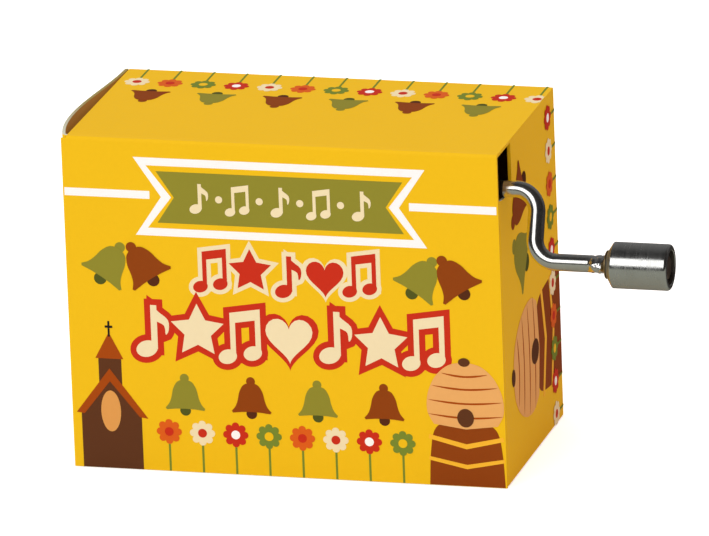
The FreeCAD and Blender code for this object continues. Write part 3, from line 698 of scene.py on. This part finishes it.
def quaver(height):
    """An eighth note as its separate shapes: head, stem and flag."""
    flag = smooth_line([(0.0, 4.25), (1.2, 3.1), (2.6, 1.9), (2.7, 0.3), (2.2, -0.5), (2.0, 0.9), (1.0, 1.5),
                        (0.0, 1.9)], 3)
    head = placed(oval(1.75, 1.3), -0.9, -2.9, 20)
    return [placed(shape, scale=height / 8.5) for shape in (head, bar(-0.15, 0.85, -2.9, 4.2), flag)]


def beamed_pair(height):
    """Two joined notes: two heads, two stems and a slanting beam."""
    shapes = []
    for u, low in ((-2.1, -3.2), (1.9, -2.5)):
        shapes += [placed(oval(1.5, 1.15), u - 0.5, low, 20), bar(u, u + 0.85, low, low + 6.3)]
    shapes.append([(-2.1, 2.2), (2.75, 3.0), (2.75, 4.7), (-2.1, 3.9)])
    return [placed(shape, scale=height / 8.5) for shape in shapes]


BELL = mirrored(smooth_line([(0.0, 2.15), (1.0, 1.78), (1.6, 0.8), (1.88, -0.4), (2.22, -1.3),
                             (2.76, -1.95)], 4) + [(2.6, -2.2), (1.3, -2.05), (0.0, -2.0)])
GREEN, BROWN = ("olive", "dark_olive"), ("bronze", "dark_brown")    # a bell's inks: body and clapper
# A flower's inks: petals and centre.
FLOWER_ORDER = (("orange", "red"), ("cream", "red"), ("red", "white"), ("leaf", "yellow"))
TOP_ORDER = (("cream", "red"), ("orange", "red"), ("leaf", "yellow"), ("red", "white"))
SIDE_ORDER = (("red", "white"), ("cream", "red"), ("orange", "red"), ("leaf", "yellow"))
# Each layer of a ribbon: its ink, half its length, where its tails' notches end and half its height.
RIBBON = (("white", 20.1, 16.4, 5.45), ("yellow", 18.35, 15.0, 4.35), ("olive", 17.0, 14.6, 3.6))
BELL_PITCH = 9.2        # between two bells of a row
PITCH = 4.65            # between two flowers of a row


def panel_matrix(across, up, out, corner):
    """The matrix that takes a panel's own directions (across, up, out) and corner to the object's frame."""
    return Matrix.Translation(corner) @ Matrix((across, up, out)).transposed().to_4x4()


# Each panel's matrix, and the ends of what can be printed: lowest and highest across, and highest up.
PANELS = {
    "front": (panel_matrix((1, 0, 0), (0, 0, 1), (0, -1, 0), (0, FRONT, 0)), -WIDTH / 2, WIDTH / 2, HEIGHT),
    "top": (panel_matrix((1, 0, 0), (0, 1, 0), (0, 0, 1), (0, FRONT, HEIGHT)), -WIDTH / 2, WIDTH / 2, DEPTH),
    "back": (panel_matrix((-1, 0, 0), (0, 0, 1), (0, 1, 0), (0, BACK, 0)), -WIDTH / 2, WIDTH / 2, HEIGHT),
    "right": (panel_matrix((0, 1, 0), (0, 0, 1), (1, 0, 0), (RIGHT, FRONT, 0)), 0, DEPTH, HEIGHT),
    "left": (panel_matrix((0, -1, 0), (0, 0, 1), (-1, 0, 0), (LEFT, BACK, 0)), 0, DEPTH, HEIGHT),
}


class PrintedArt:
    """Flat shapes of ink on one panel, each a thin closed slab a little proud of the card."""

    FIRST = 0.4         # height of the lowest shape, as a share of the ink step
    SPREAD = 0.12       # between two shapes of one layer, so that none coincide
    SLAB = 1.3          # thickness of a shape

    def __init__(self):
        self.bm = bmesh.new()
        self.inks = []
        self.step = bpy.context.scene.music_box_carton.ink_step / MM
        self.count = 0

    def shape(self, points, ink_name, layer=0):
        """One filled outline in an ink; a higher layer lies over the lower ones."""
        if ink_name not in self.inks:
            self.inks.append(ink_name)
        self.count += 1
        height = (layer + self.count % 5 * self.SPREAD + self.FIRST) * self.step
        face = self.bm.faces.new([self.bm.verts.new((u, v, height)) for u, v in points])
        face.normal_update()
        if face.normal.z < 0:
            face.normal_flip()
        face.material_index = self.inks.index(ink_name)

    def flowers(self, count, start, step, inks, stem, layer=0):
        """A row of eight-petalled flowers whose stems run along a vector."""
        side = Vector((-stem[1], stem[0])).normalized() * 0.15
        for number in range(count):
            petal_ink, centre_ink = inks[number % len(inks)]
            middle = Vector(start) + Vector(step) * number
            end = middle + Vector(stem)
            self.shape([middle - side, end - side, end + side, middle + side], "leaf", layer)
            self.shape(placed(petals(8, 1.24, 0.52), *middle), petal_ink, layer + 1)
            self.shape(oval(0.62, None, 20, *middle), centre_ink, layer + 2)

    def bell(self, u, v, inks, turn=0.0, scale=1.0, layer=0):
        """A bell with its crown loop and clapper."""
        body_ink, clapper_ink = inks
        self.shape(placed(oval(0.75, None, 20, 0, -2.25), u, v, turn, scale), clapper_ink, layer)
        self.shape(placed(oval(0.62, None, 20, 0, 2.3), u, v, turn, scale), body_ink, layer)
        self.shape(placed(BELL, u, v, turn, scale), body_ink, layer + 1)

    def bells(self, count, u, v, inks, turn=0.0):
        """A row of bells in two colours by turns."""
        for number in range(count):
            self.bell(u + BELL_PITCH * number, v, inks[number % 2], turn)

    def ribbon(self, v):
        """A swallow-tailed ribbon with a yellow line and a white rim, over the panel's middle."""
        for layer, (ink_name, half, tail, rise) in enumerate(RIBBON, 1):
            self.shape([(-half, v - rise), (half, v - rise), (tail, v), (half, v + rise), (-half, v + rise),
                        (-tail, v)], ink_name, layer)

    def title_row(self, kinds, u0, u1, v, height, fill_ink, line_ink, line):
        """A row of notes, stars and hearts with an outline, evenly spread between two places."""
        step = (u1 - u0) / len(kinds)
        for number, kind in enumerate(kinds):
            place = (u0 + (number + 0.5) * step, v + 0.35 * math.sin(number * 2.1))
            shapes = {"quaver": quaver(height), "pair": beamed_pair(height), "star": [star(height * 0.52)],
                      "heart": [heart(height * 0.44)]}[kind]
            for outline in shapes:
                if kind == "heart":
                    wide = placed(outline, scale=1 + line / (0.43 * height))
                else:
                    wide = grown(outline, line)
                self.shape(placed(wide, *place), line_ink, 0)
            for outline in shapes:
                self.shape(placed(outline, *place), fill_ink, 1)

    def beehive(self, u, v, scale=1.0, turn=0.0):
        """A straw hive on a round stand; u and v are the middle of its foot."""
        def put(points, ink_name, layer):
            self.shape(placed(points, u, v, turn, scale), ink_name, layer)
        put(mirrored(smooth_line([(0.0, 8.9), (3.0, 8.75), (4.4, 7.6), (4.95, 4.6), (5.15, 1.2),
                                  (5.2, 0.0)], 4) + [(0.0, 0.0)]), "bronze", 0)
        put(mirrored([(0.0, 5.9), (5.1, 7.1), (5.2, 6.5), (0.0, 5.2)]), "cord", 1)
        put(mirrored([(0.0, 3.0), (5.15, 4.0), (5.2, 3.5), (0.0, 2.4)]), "cord", 1)
        put(mirrored(smooth_line([(0.0, 17.4), (2.2, 16.9), (4.0, 15.3), (5.1, 12.9), (5.25, 10.4),
                                  (4.4, 8.6)], 5) + [(0.0, 8.0)]), "peach", 2)
        for low, half in ((10.0, 5.2), (12.0, 5.15), (14.0, 4.55), (15.8, 3.2)):
            put(smooth_line([(share * half, low - sag) for share, sag in
                             ((-1, 0), (-0.5, 0.42), (0, 0.55), (0.5, 0.42), (1, 0), (0.5, 0.17), (0, 0.3),
                              (-0.5, 0.17))], 3, closed=True), "roof", 3)
        put(oval(1.15, 1.3, v=9.6), "timber", 4)
        put(oval(0.8, 0.6, v=17.4), "timber", 3)

    def chapel(self, u):
        """A small chapel with a spire, its base's middle at u on the panel's lower edge."""
        for points, ink_name, layer in (
                ([(-4.35, 0), (4.05, 0), (4.05, 7.7), (-0.2, 12.6), (-4.35, 7.9)], "timber", 0),
                (bar(-1.7, 1.5, 11.2, 15.6), "timber", 0),
                ([(-5.0, 7.75), (-3.9, 7.6), (-0.2, 12.3), (3.8, 7.4), (4.95, 7.25), (-0.2, 14.1)],
                 "roof", 1),
                ([(-2.1, 15.5), (1.8, 15.5), (-0.1, 19.2)], "roof", 1),
                (bar(-0.21, 0.05, 18.6, 20.8), "black", 2),
                (bar(-0.6, 0.44, 19.85, 20.15), "black", 2),
                (oval(1.38, 2.9, u=-0.2, v=8.1), "window", 2)):
            self.shape(placed(points, u), ink_name, layer)

    def finish(self, name):
        """Clip and thicken the shapes, set them on the panel that the name starts with and make the piece."""
        panel = name.split("_")[0]
        matrix, first, last, top = PANELS[panel]
        for place, out in (((first + 0.1, 0, 0), (-1, 0, 0)), ((last - 0.1, 0, 0), (1, 0, 0)),
                           ((0, 0.02, 0), (0, -1, 0)), ((0, top - 0.1, 0), (0, 1, 0))):
            slice_sheet(self.bm, place, out, clear_outer=True)
        self.bm.normal_update()
        bmesh.ops.solidify(self.bm, geom=list(self.bm.faces), thickness=self.step * self.SLAB)
        if panel == "left":
            slice_at(self.bm, X_AXIS, *(k * DEPTH / 24 for k in range(1, 24)))
        bmesh.ops.transform(self.bm, matrix=matrix, verts=self.bm.verts)
        if panel == "left":
            for vert in self.bm.verts:
                vert.co.x -= end_bow(vert.co.y, vert.co.z)
        bmesh.ops.recalc_face_normals(self.bm, faces=self.bm.faces)
        carton = bpy.context.scene.music_box_carton
        inks = [card_material("ink " + ink_name.replace("_", " "), getattr(carton, ink_name))
                for ink_name in self.inks]
        body = "left_end" if panel == "left" else "carton"
        finish_piece(name, self.bm, inks, body, (), 0.0)


class MUSICBOX_OT_front_print(bpy.types.Operator):
    """Print the front panel: ribbon, title shapes, bells, flowers, chapel and hive"""
    bl_idname = "music_box.front_print"
    bl_label = "Front print"

    def execute(self, context):
        art = PrintedArt()
        art.shape(bar(-29.8, -18.0, 38.25, 39.35), "white")
        art.shape(bar(17.8, 29.75, 38.25, 39.35), "white")
        art.ribbon(38.6)
        for number in range(9):
            dot = [oval(0.5, count=16)]
            v = 38.5 if number % 4 == 2 else 38.6
            for outline in (quaver(4.2), dot, beamed_pair(4.2), dot)[number % 4]:
                art.shape(placed(outline, -11.2 + number * 2.8, v), "cream", 4)
        art.finish("front_ribbon_print")
        art = PrintedArt()
        art.title_row(("pair", "star", "quaver", "heart", "pair"), -12.2, 13.6, 28.5, 5.9,
                      "red", "cream", 0.6)
        art.title_row(("quaver", "star", "pair", "heart", "quaver", "star", "pair"), -21.6, 22.8, 19.7, 7.4,
                      "cream", "red", 0.85)
        art.finish("front_title_print")
        art = PrintedArt()
        for u, v, inks, turn, layer in ((-23.9, 29.0, GREEN, -33, 0), (19.2, 29.0, GREEN, -33, 0),
                                        (-19.4, 29.1, BROWN, 33, 2), (23.5, 29.25, BROWN, 33, 2)):
            art.bell(u, v, inks, turn, 1.17, layer)
        art.bells(4, -14.2, 10.95, (GREEN, BROWN))
        art.finish("front_bell_print")
        art = PrintedArt()
        art.flowers(8, (-16.6, 5.6), (4.63, 0), FLOWER_ORDER, (0, -5.55))
        art.finish("front_flower_print")
        art = PrintedArt()
        art.chapel(-24.4)
        art.finish("front_chapel_print")
        art = PrintedArt()
        art.beehive(24.6, 0.05)
        art.finish("front_hive_print")
        return {"FINISHED"}


class MUSICBOX_OT_side_prints(bpy.types.Operator):
    """Print the top, back and the two ends"""
    bl_idname = "music_box.side_prints"
    bl_label = "Side prints"

    def execute(self, context):
        self.top()
        self.back()
        self.end("right", 1)
        self.end("left", -1)
        return {"FINISHED"}

    def top(self):
        """Flowers along the back edge and bells in front of them."""
        art = PrintedArt()
        art.flowers(13, (-26.6, 25.4), (PITCH, 0), TOP_ORDER, (0, DEPTH - 25.6))
        art.finish("top_flower_print")
        art = PrintedArt()
        art.bells(6, -23.5, 19.4, (BROWN, GREEN), 180)
        art.finish("top_bell_print")

    def back(self):
        """A plain ribbon, a row of bells and a row of flowers."""
        art = PrintedArt()
        art.shape(bar(-29.6, -18.0, 29.45, 30.55), "white")
        art.shape(bar(18.0, 29.6, 29.45, 30.55), "white")
        art.ribbon(30.0)
        for number in range(5):
            art.shape(placed(star(1.5), -9.6 + 4.8 * number, 29.9), "cream", 4)
        art.finish("back_ribbon_print")
        art = PrintedArt()
        art.bells(6, -23, 14.5, (GREEN, BROWN))
        art.flowers(13, (-27.9, 5.3), (PITCH, 0), FLOWER_ORDER, (0, -5.25))
        art.finish("back_garden_print")

    def end(self, name, side):
        """One end: flowers along the back edge, two bells and the lying hive."""
        def across(u):
            return u if side > 0 else DEPTH - u
        art = PrintedArt()
        art.flowers(10, (across(27.2), 43.4), (0, -PITCH), SIDE_ORDER, (3.85 * side, 0), 3)
        art.finish(name + "_flower_print")
        art = PrintedArt()
        art.bell(across(10.9), 29.3, GREEN, 57 * side, 1.68)
        art.bell(across(10.6), 36.9, BROWN, 123 * side, 1.62, 2)
        art.finish(name + "_bell_print")
        art = PrintedArt()
        art.beehive(across(31.2), 13.8, 1.5, 90 * side)
        art.finish(name + "_hive_print")


# ---------------------------------------------------------------- crank, knob and movement

def spun(points, steps):
    """A solid of revolution about the knob's axis, from (x, radius) points."""
    bm = bmesh.new()
    verts, edges = line_of(bm, [(x, KNOB.y, KNOB.z + radius) for x, radius in points])
    bmesh.ops.spin(bm, geom=verts + edges, cent=(0, KNOB.y, KNOB.z), axis=X_AXIS, angle=math.tau,
                   steps=steps, use_merge=True)
    bmesh.ops.remove_doubles(bm, verts=bm.verts, dist=1e-5)
    bmesh.ops.recalc_face_normals(bm, faces=bm.faces)
    return bm


class MUSICBOX_OT_crank(bpy.types.Operator):
    """Bend the crank wire and set its washer and riveted end"""
    bl_idname = "music_box.crank"
    bl_label = "Crank"

    def execute(self, context):
        sizes = context.scene.music_box_crank
        self.wire(sizes)
        self.washer(sizes)
        self.rivet(sizes)
        return {"FINISHED"}

    def straight(self, bm, ring, move, steps):
        """Carry the open ring on along a move."""
        for _ in range(steps):
            out = bmesh.ops.extrude_edge_only(bm, edges=ring)
            verts = [item for item in out["geom"] if isinstance(item, bmesh.types.BMVert)]
            bmesh.ops.translate(bm, verts=verts, vec=move / steps)
            ring = [item for item in out["geom"] if isinstance(item, bmesh.types.BMEdge)
                    and item.verts[0] in verts and item.verts[1] in verts]
        return ring

    def quarter(self, bm, ring, centre, axis):
        """Carry the open ring on round a right-angled bend."""
        out = bmesh.ops.spin(bm, geom=ring, cent=centre, axis=axis, angle=math.pi / 2, steps=20,
                             use_merge=False)
        return [item for item in out["geom_last"] if isinstance(item, bmesh.types.BMEdge)]

    def wire(self, sizes):
        """The bent wire, bright outside the carton and painted near black inside it, a painted shade where
        the carton shadows it.
        """
        radius = sizes.wire_radius / MM
        bend = sizes.bend_radius / MM
        start_x = BOX["crank_wire"][0].x / MM
        end_x = BOX["wire_rivet_end"][0].x / MM
        down = Vector((0, KNOB.y - SHAFT.y, KNOB.z - SHAFT.z))
        reach = down.length
        down.normalize()
        arm_x = RIGHT + ARM_OUT
        bm = bmesh.new()
        start = Vector((start_x, SHAFT.y, SHAFT.z))
        bmesh.ops.create_circle(bm, cap_ends=True, radius=radius, segments=40,
                                matrix=Matrix.Translation(start) @ Matrix.Rotation(math.pi / 2, 4, "Y"))
        axis = X_AXIS.cross(down)
        ring = self.straight(bm, list(bm.edges), X_AXIS * (arm_x - bend - start_x), 12)
        ring = self.quarter(bm, ring, Vector((arm_x - bend, SHAFT.y, SHAFT.z)) + down * bend, axis)
        ring = self.straight(bm, ring, down * (reach - 2 * bend), 4)
        ring = self.quarter(bm, ring, Vector((arm_x + bend, KNOB.y, KNOB.z)) - down * bend, -axis)
        ring = self.straight(bm, ring, X_AXIS * (end_x - arm_x - bend), 160)
        bmesh.ops.contextual_create(bm, geom=ring)
        self.pinch(bm, sizes, radius)
        bmesh.ops.recalc_face_normals(bm, faces=bm.faces)
        # Faces inside the carton get a near-black copy of the metal: painted shade standing in for the
        # carton's shadow on the shaft.
        slice_at(bm, X_AXIS, RIGHT)
        for face in bm.faces:
            face.material_index = int(face.calc_center_median().x < RIGHT)
        nickel = metal_material("bright nickel", sizes.nickel, (0.45, 0.42, 0.38), 0.17, 0.2, 0.08)
        shaft_shade = metal_material("shaft in painted shade", (0.05, 0.045, 0.04), (0.02, 0.018, 0.015), 0.5, 0.5)
        finish_piece("crank_wire_bright", bm, [nickel, shaft_shade], "crank", ("crank_wire",))

    def pinch(self, bm, sizes, radius):
        """Squeeze the wire flat just before the washer, so that it spreads into two wings."""
        wing_end = BOX["knob_washer"][0].x / MM
        wing_start = wing_end - WING_LENGTH
        widen = sizes.wing_reach / MM / radius - 1
        flatten = 1 - sizes.wing_half / MM / radius
        for vert in bm.verts:
            if not wing_start < vert.co.x < wing_end:
                continue
            rise = min(max((vert.co.x - wing_start) / WING_RISE, 0.0), 1.0)
            fall = min(max((wing_end - vert.co.x) / WING_FALL, 0.0), 1.0)
            amount = (rise * rise * (3 - 2 * rise)) * (fall * fall * (3 - 2 * fall))
            side = (vert.co.y - KNOB.y) / radius
            vert.co.y = KNOB.y + side * radius * (1 + widen * amount)
            vert.co.z = KNOB.z + (vert.co.z - KNOB.z) * (1 - flatten * amount * (0.35 + 0.65 * abs(side)))
            dent = amount * (0.3 * noise.voronoi(vert.co * 1.5)[0][0] - 0.12)
            outward = Vector((0, vert.co.y - KNOB.y, vert.co.z - KNOB.z)).normalized()
            vert.co -= outward * dent

    def washer(self, sizes):
        """The thin washer on the knob's inner end, with its outer edges taken off."""
        low, high = BOX["knob_washer"]
        outer = (high.z - low.z) / (2 * MM)
        bore = sizes.wire_radius / MM * 1.01
        x0, x1 = low.x / MM, high.x / MM
        edge = 0.05
        points = [(x0, bore), (x0, outer - edge), (x0 + edge, outer), (x1 - edge, outer), (x1, outer - edge),
                  (x1, bore), (x0, bore)]
        brass = metal_material("dull brass", (0.42, 0.31, 0.16), (0.2, 0.12, 0.05), 0.4, 0.6)
        finish_piece("knob_washer_brass", spun(points, 96), [brass], "crank", ("knob_washer",))

    def rivet(self, sizes):
        """The wire's end in the knob's recess, domed and dented by a hammer."""
        low, high = BOX["wire_rivet_end"]
        radius = (high.z - low.z) / (2 * MM)
        x0, x1 = low.x / MM, high.x / MM
        points = [(x0, 0.0), (x0, radius * 0.95)]
        for step in range(9):
            angle = step / 8 * math.pi / 2
            points.append((x0 + 0.15 + (x1 - x0 - 0.15) * math.sin(angle),
                           radius * (1 - 0.3 * (1 - math.cos(angle)))))
        points += [(x1, radius * 0.45), (x1 - 0.05, radius * 0.2), (x1 - 0.05, 0.0)]
        bm = spun(points, 48)
        bmesh.ops.subdivide_edges(bm, edges=bm.edges, cuts=1, use_grid_fill=True)
        for vert in bm.verts:
            if vert.co.x > x0 + 0.1:
                vert.co.x -= 0.07 * abs(noise.noise(vert.co * 1.7)) + 0.03 * abs(noise.noise(vert.co * 4.1))
        metal = metal_material("hammered rivet", sizes.rivet, (0.12, 0.07, 0.05), 0.38, 0.7, 0.2)
        finish_piece("wire_rivet_hammered", bm, [metal], "crank", ("wire_rivet_end",))


class MUSICBOX_OT_knob(bpy.types.Operator):
    """Turn the knob with its chamfer, rounded rim and recess"""
    bl_idname = "music_box.knob"
    bl_label = "Knob"

    def execute(self, context):
        sizes = context.scene.music_box_crank
        low, high = BOX["knob"]
        radius = (high.z - low.z) / (2 * MM)
        x0, x1 = low.x / MM, high.x / MM
        bore = sizes.wire_radius / MM + 0.08
        axial, radial = sizes.chamfer_axial / MM, sizes.chamfer_radial / MM
        recess = sizes.recess_radius / MM
        floor = BOX["wire_rivet_end"][0].x / MM - 0.05
        edge = 0.4
        points = [(x0, bore), (x0, radius - radial - 0.05), (x0 + 0.03, radius - radial),
                  (x0 + axial - 0.05, radius - 0.06), (x0 + axial + 0.06, radius),
                  (x0 + axial + 0.16, radius), (x1 - edge - 0.1, radius)]
        for step in range(7):
            angle = step / 6 * math.pi / 2
            points.append((x1 - edge + edge * math.sin(angle), radius - edge + edge * math.cos(angle)))
        points += [(x1, recess + 0.06), (x1 - 0.06, recess), (floor + 0.08, recess), (floor, recess - 0.08),
                   (floor, bore), (x0, bore)]
        steel = metal_material("turned steel", sizes.steel, (0.34, 0.33, 0.29), 0.2, 0.25, 0.34,
                               (0.55, 0.02, 0.02), 0.55)
        # The recess gets a darker copy of the steel, a painted shade in the hollow.
        dark = metal_material("recess steel in painted shade", (0.25, 0.23, 0.21), (0.08, 0.06, 0.05), 0.45, 0.6)
        # The chamfer gets a darker, rougher copy of the steel: painted shade that dims the carton's yellow
        # reflection there.
        dull = metal_material("chamfer steel in painted shade", (0.4, 0.42, 0.4), (0.25, 0.22, 0.18), 0.5, 0.5)
        bm = spun(points, 128)
        for face in bm.faces:
            centre = face.calc_center_median()
            reach = math.hypot(centre.y - KNOB.y, centre.z - KNOB.z)
            if reach < recess + 0.02 and centre.x > x0 + axial:
                face.material_index = 1
            elif centre.x < x0 + axial:
                face.material_index = 2
        finish_piece("knob_turned", bm, [steel, dark, dull], "knob", ("knob",))
        return {"FINISHED"}


CAD_MESHES = ("adhesive_pads", "cylinder_pins", "worm", "worm_wheel")     # nodes that keep their own mesh


class MUSICBOX_OT_movement(bpy.types.Operator):
    """Finish the movement's metal and plastic pieces and soften the edges of the larger ones"""
    bl_idname = "music_box.movement"
    bl_label = "Movement"

    def execute(self, context):
        finishes = self.finishes(context.scene.music_box_crank)
        for node, (slot_name, material) in finishes.items():
            if node in CAD_MESHES:
                self.paint(node, material)
            else:
                self.soften(node, slot_name, material)
        return {"FINISHED"}

    def finishes(self, sizes):
        """Each node's slot and material."""
        plated = metal_material("zinc plate", (0.62, 0.61, 0.56), (0.36, 0.34, 0.28), 0.34, 0.4)
        spring = metal_material("ground spring steel", (0.56, 0.57, 0.6), (0.3, 0.27, 0.24), 0.25, 0.3, 0.2,
                                (0.05, 1.0, 1.0), 0.2)
        brass = metal_material("satin brass", sizes.brass, (0.3, 0.18, 0.07), 0.28, 0.5)
        zinc = metal_material("cast zinc", (0.4, 0.4, 0.41), (0.2, 0.2, 0.2), 0.5, 0.6, 0.2,
                              (0.5, 0.5, 0.5), 0.5)
        lead = metal_material("lead", (0.22, 0.22, 0.24), (0.12, 0.12, 0.13), 0.6, 0.7)
        screw = metal_material("screw steel", (0.58, 0.58, 0.58), (0.25, 0.24, 0.22), 0.24, 0.3)
        pin = metal_material("pin steel", (0.68, 0.68, 0.68), (0.3, 0.3, 0.3), 0.2, 0.2)
        plastic = card_material("moulded plastic", ink(232, 226, 208), 0.38, 0.06, 0.45)
        foam = card_material("adhesive foam", ink(228, 226, 218), 0.9, 0.06, 0.45)
        return {
            "adhesive_pads": ("adhesive_foam", foam),
            "bedplate": ("plated_steel", plated),
            "comb_base": ("cast_zinc", zinc),
            "comb": ("spring_steel", spring),
            "comb_screws": ("screw_steel", screw),
            "bearing_screws": ("screw_steel", screw),
            "tuning_weights": ("lead", lead),
            "cylinder_bearing_top": ("plated_steel", plated),
            "cylinder_bearing_bottom": ("plated_steel", plated),
            "shaft_bearing_inner": ("plated_steel", plated),
            "shaft_bearing_outer": ("plated_steel", plated),
            "shaft_clip": ("screw_steel", screw),
            "worm": ("brass", brass),
            "cylinder_tube": ("brass", brass),
            "cylinder_end_caps": ("brass", brass),
            "cylinder_arbor": ("pin_steel", pin),
            "cylinder_pins": ("pin_steel", pin),
            "worm_wheel": ("gear_plastic", plastic),
        }

    def paint(self, node, material):
        """Put the material on the CAD node itself."""
        piece = frame["nodes"][node]
        piece.data.materials.clear()
        piece.data.materials.append(material)

    def soften(self, node, slot_name, material):
        """A copy of the node with its sharp edges taken off, in the node's place."""
        source = frame["nodes"][node]
        bm = bmesh.new()
        bm.from_mesh(source.data)
        bmesh.ops.scale(bm, vec=(1 / MM, 1 / MM, 1 / MM), verts=bm.verts)
        bmesh.ops.remove_doubles(bm, verts=bm.verts, dist=1e-4)
        bmesh.ops.dissolve_limit(bm, angle_limit=math.radians(1), verts=bm.verts, edges=bm.edges)
        sharp = [edge for edge in bm.edges if len(edge.link_faces) == 2
                 and edge.calc_face_angle(0) > math.radians(50)]
        bmesh.ops.bevel(bm, geom=sharp, offset=EDGE_SOFTENING, offset_type="OFFSET", segments=2, profile=0.5,
                        material=-1, affect="EDGES", clamp_overlap=True)
        for face in bm.faces:
            face.material_index = 0
        finish_piece(node + "_finished", bm, [material], source["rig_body"], (node,))


# ---------------------------------------------------------------- stage

class MUSICBOX_OT_stage(bpy.types.Operator):
    """Lay the pale floor, light the room and place the camera"""
    bl_idname = "music_box.stage"
    bl_label = "Stage"

    def execute(self, context):
        stage = context.scene.music_box_stage
        self.floor()
        self.room(context.scene, stage)
        self.key_light(Vector((-0.35, -2.0, 1.35)), stage.key_power)
        self.camera(context.scene, stage)
        context.scene.view_settings.view_transform = "Standard"
        return {"FINISHED"}

    def floor(self):
        """A large pale floor; to reflections it shows instead a painted grey that fades to near black towards
        the back, a painted reflection.
        """
        bm = bmesh.new()
        bmesh.ops.create_grid(bm, x_segments=1, y_segments=1, size=3.0)
        bmesh.ops.subdivide_edges(bm, edges=bm.edges, cuts=3, use_grid_fill=True)
        bmesh.ops.translate(bm, verts=bm.verts, vec=(0, 0, CAD_BOX[0].z - 0.0001))
        mesh = bpy.data.meshes.new("floor")
        bm.to_mesh(mesh)
        bm.free()
        material = bpy.data.materials.new("pale floor")
        material.use_nodes = True
        tree = material.node_tree
        shader = tree.nodes["Principled BSDF"]
        rays = add_node(tree, "LightPath").outputs
        for label, value in (("Base Color", (0.93, 0.93, 0.93, 1)), ("Roughness", 1.0),
                             ("Specular IOR Level", 0.0), ("Emission Color", (1, 1, 1, 1)),
                             ("Emission Strength", calc(tree, "MULTIPLY", rays["Is Camera Ray"], 0.55))):
            feed(tree, shader.inputs[label], value)
        # Glossy rays see a dim grey-to-black painted colour instead of the floor: a painted reflection on the
        # metal.
        depth = add_node(tree, "SeparateXYZ", {0: object_place(tree)}).outputs["Y"]
        shade = colour_mix(tree, ramp(tree, depth, 0.0, 0.06), (0.28, 0.31, 0.27, 1), (0.04, 0.04, 0.04, 1))
        painted_reflection = add_node(tree, "BsdfDiffuse", {"Color": shade})
        mix = add_node(tree, "MixShader", {0: rays["Is Glossy Ray"], 1: shader.outputs[0], 2: painted_reflection.outputs[0]})
        feed(tree, tree.nodes["Material Output"].inputs["Surface"], mix.outputs[0])
        mesh.materials.append(material)
        add_object("floor", mesh)

    def room(self, scene, stage):
        """Soft light from all round, brighter above and dimmer on the right; nearly dark in reflections."""
        world = scene.world = bpy.data.worlds.new("studio room")
        world.use_nodes = True
        tree = world.node_tree
        tree.nodes.clear()
        way = add_node(tree, "SeparateXYZ", {0: add_node(tree, "TexCoord").outputs["Generated"]}).outputs

        def brightness(base, slopes):
            """A brightness that changes along the world's axes and never falls below 0.02."""
            total = base
            for axis, slope in slopes:
                total = calc(tree, "ADD", calc(tree, "MULTIPLY", way[axis], slope), total)
            return calc(tree, "MAXIMUM", total, 0.02)

        warmth = calc(tree, "MAXIMUM", way["X"], 0.0)
        diffuse = add_node(tree, "Background", {
            "Color": colour_mix(tree, warmth, (1, 1, 1, 1), (1, 0.56, 0.4, 1)),
            "Strength": brightness(stage.fill, (("Z", 0.42), ("X", -0.22)))})
        glossy = add_node(tree, "Background", {"Strength": brightness(0.015, (("Y", 0.17), ("X", -0.06)))})
        mix = add_node(tree, "MixShader", {0: add_node(tree, "LightPath").outputs["Is Glossy Ray"],
                                           1: diffuse.outputs[0], 2: glossy.outputs[0]})
        add_node(tree, "OutputWorld", {"Surface": mix.outputs[0]})

    def key_light(self, place, power):
        """A rectangular soft light aimed at the object's middle."""
        data = bpy.data.lights.new("key", "AREA")
        data.shape = "RECTANGLE"
        data.size, data.size_y = 1.6, 1.5
        data.energy = power
        lamp = add_object("key", data)
        lamp.location = place
        aim = Vector((0, 0, HEIGHT * MM / 2)) - place
        lamp.rotation_euler = aim.to_track_quat("-Z", "Y").to_euler()
        lamp.visible_camera = False

    def camera(self, scene, stage):
        """A long lens from the front right and above."""
        data = bpy.data.cameras.new("camera")
        data.sensor_width = 36.0
        data.lens = stage.lens
        data.clip_start = 0.05
        data.clip_end = 20.0
        camera = scene.camera = add_object("camera", data)
        camera.location = stage.camera_place
        camera.rotation_euler = stage.camera_turn


class MUSICBOX_PT_panel(bpy.types.Panel):
    """The pieces of the music box, in the order in which they are made"""
    bl_label = "Music Box"
    bl_idname = "MUSICBOX_PT_panel"
    bl_space_type = "VIEW_3D"
    bl_region_type = "UI"
    bl_category = "Music Box"

    def draw(self, context):
        for settings in ("music_box_carton", "music_box_crank", "music_box_stage"):
            group = getattr(context.scene, settings)
            column = self.layout.column()
            for key in group.__annotations__:
                column.prop(group, key)
        for operator in OPERATORS:
            self.layout.operator(operator.bl_idname)


OPERATORS = (
    MUSICBOX_OT_carton_sleeve, MUSICBOX_OT_left_end, MUSICBOX_OT_right_end, MUSICBOX_OT_front_print,
    MUSICBOX_OT_side_prints, MUSICBOX_OT_crank, MUSICBOX_OT_knob, MUSICBOX_OT_movement, MUSICBOX_OT_stage,
)
GROUP_CLASSES = (MusicBoxCarton, MusicBoxCrank, MusicBoxStage)


def register():
    for cls in GROUP_CLASSES + OPERATORS + (MUSICBOX_PT_panel,):
        bpy.utils.register_class(cls)
    bpy.types.Scene.music_box_carton = PointerProperty(type=MusicBoxCarton)
    bpy.types.Scene.music_box_crank = PointerProperty(type=MusicBoxCrank)
    bpy.types.Scene.music_box_stage = PointerProperty(type=MusicBoxStage)


def unregister():
    for name in ("music_box_carton", "music_box_crank", "music_box_stage"):
        delattr(bpy.types.Scene, name)
    for cls in reversed(GROUP_CLASSES + OPERATORS + (MUSICBOX_PT_panel,)):
        bpy.utils.unregister_class(cls)


def main():
    register()
    for operator in OPERATORS:
        group, name = operator.bl_idname.split(".")
        getattr(getattr(bpy.ops, group), name)()


if __name__ == "__main__":
    main()
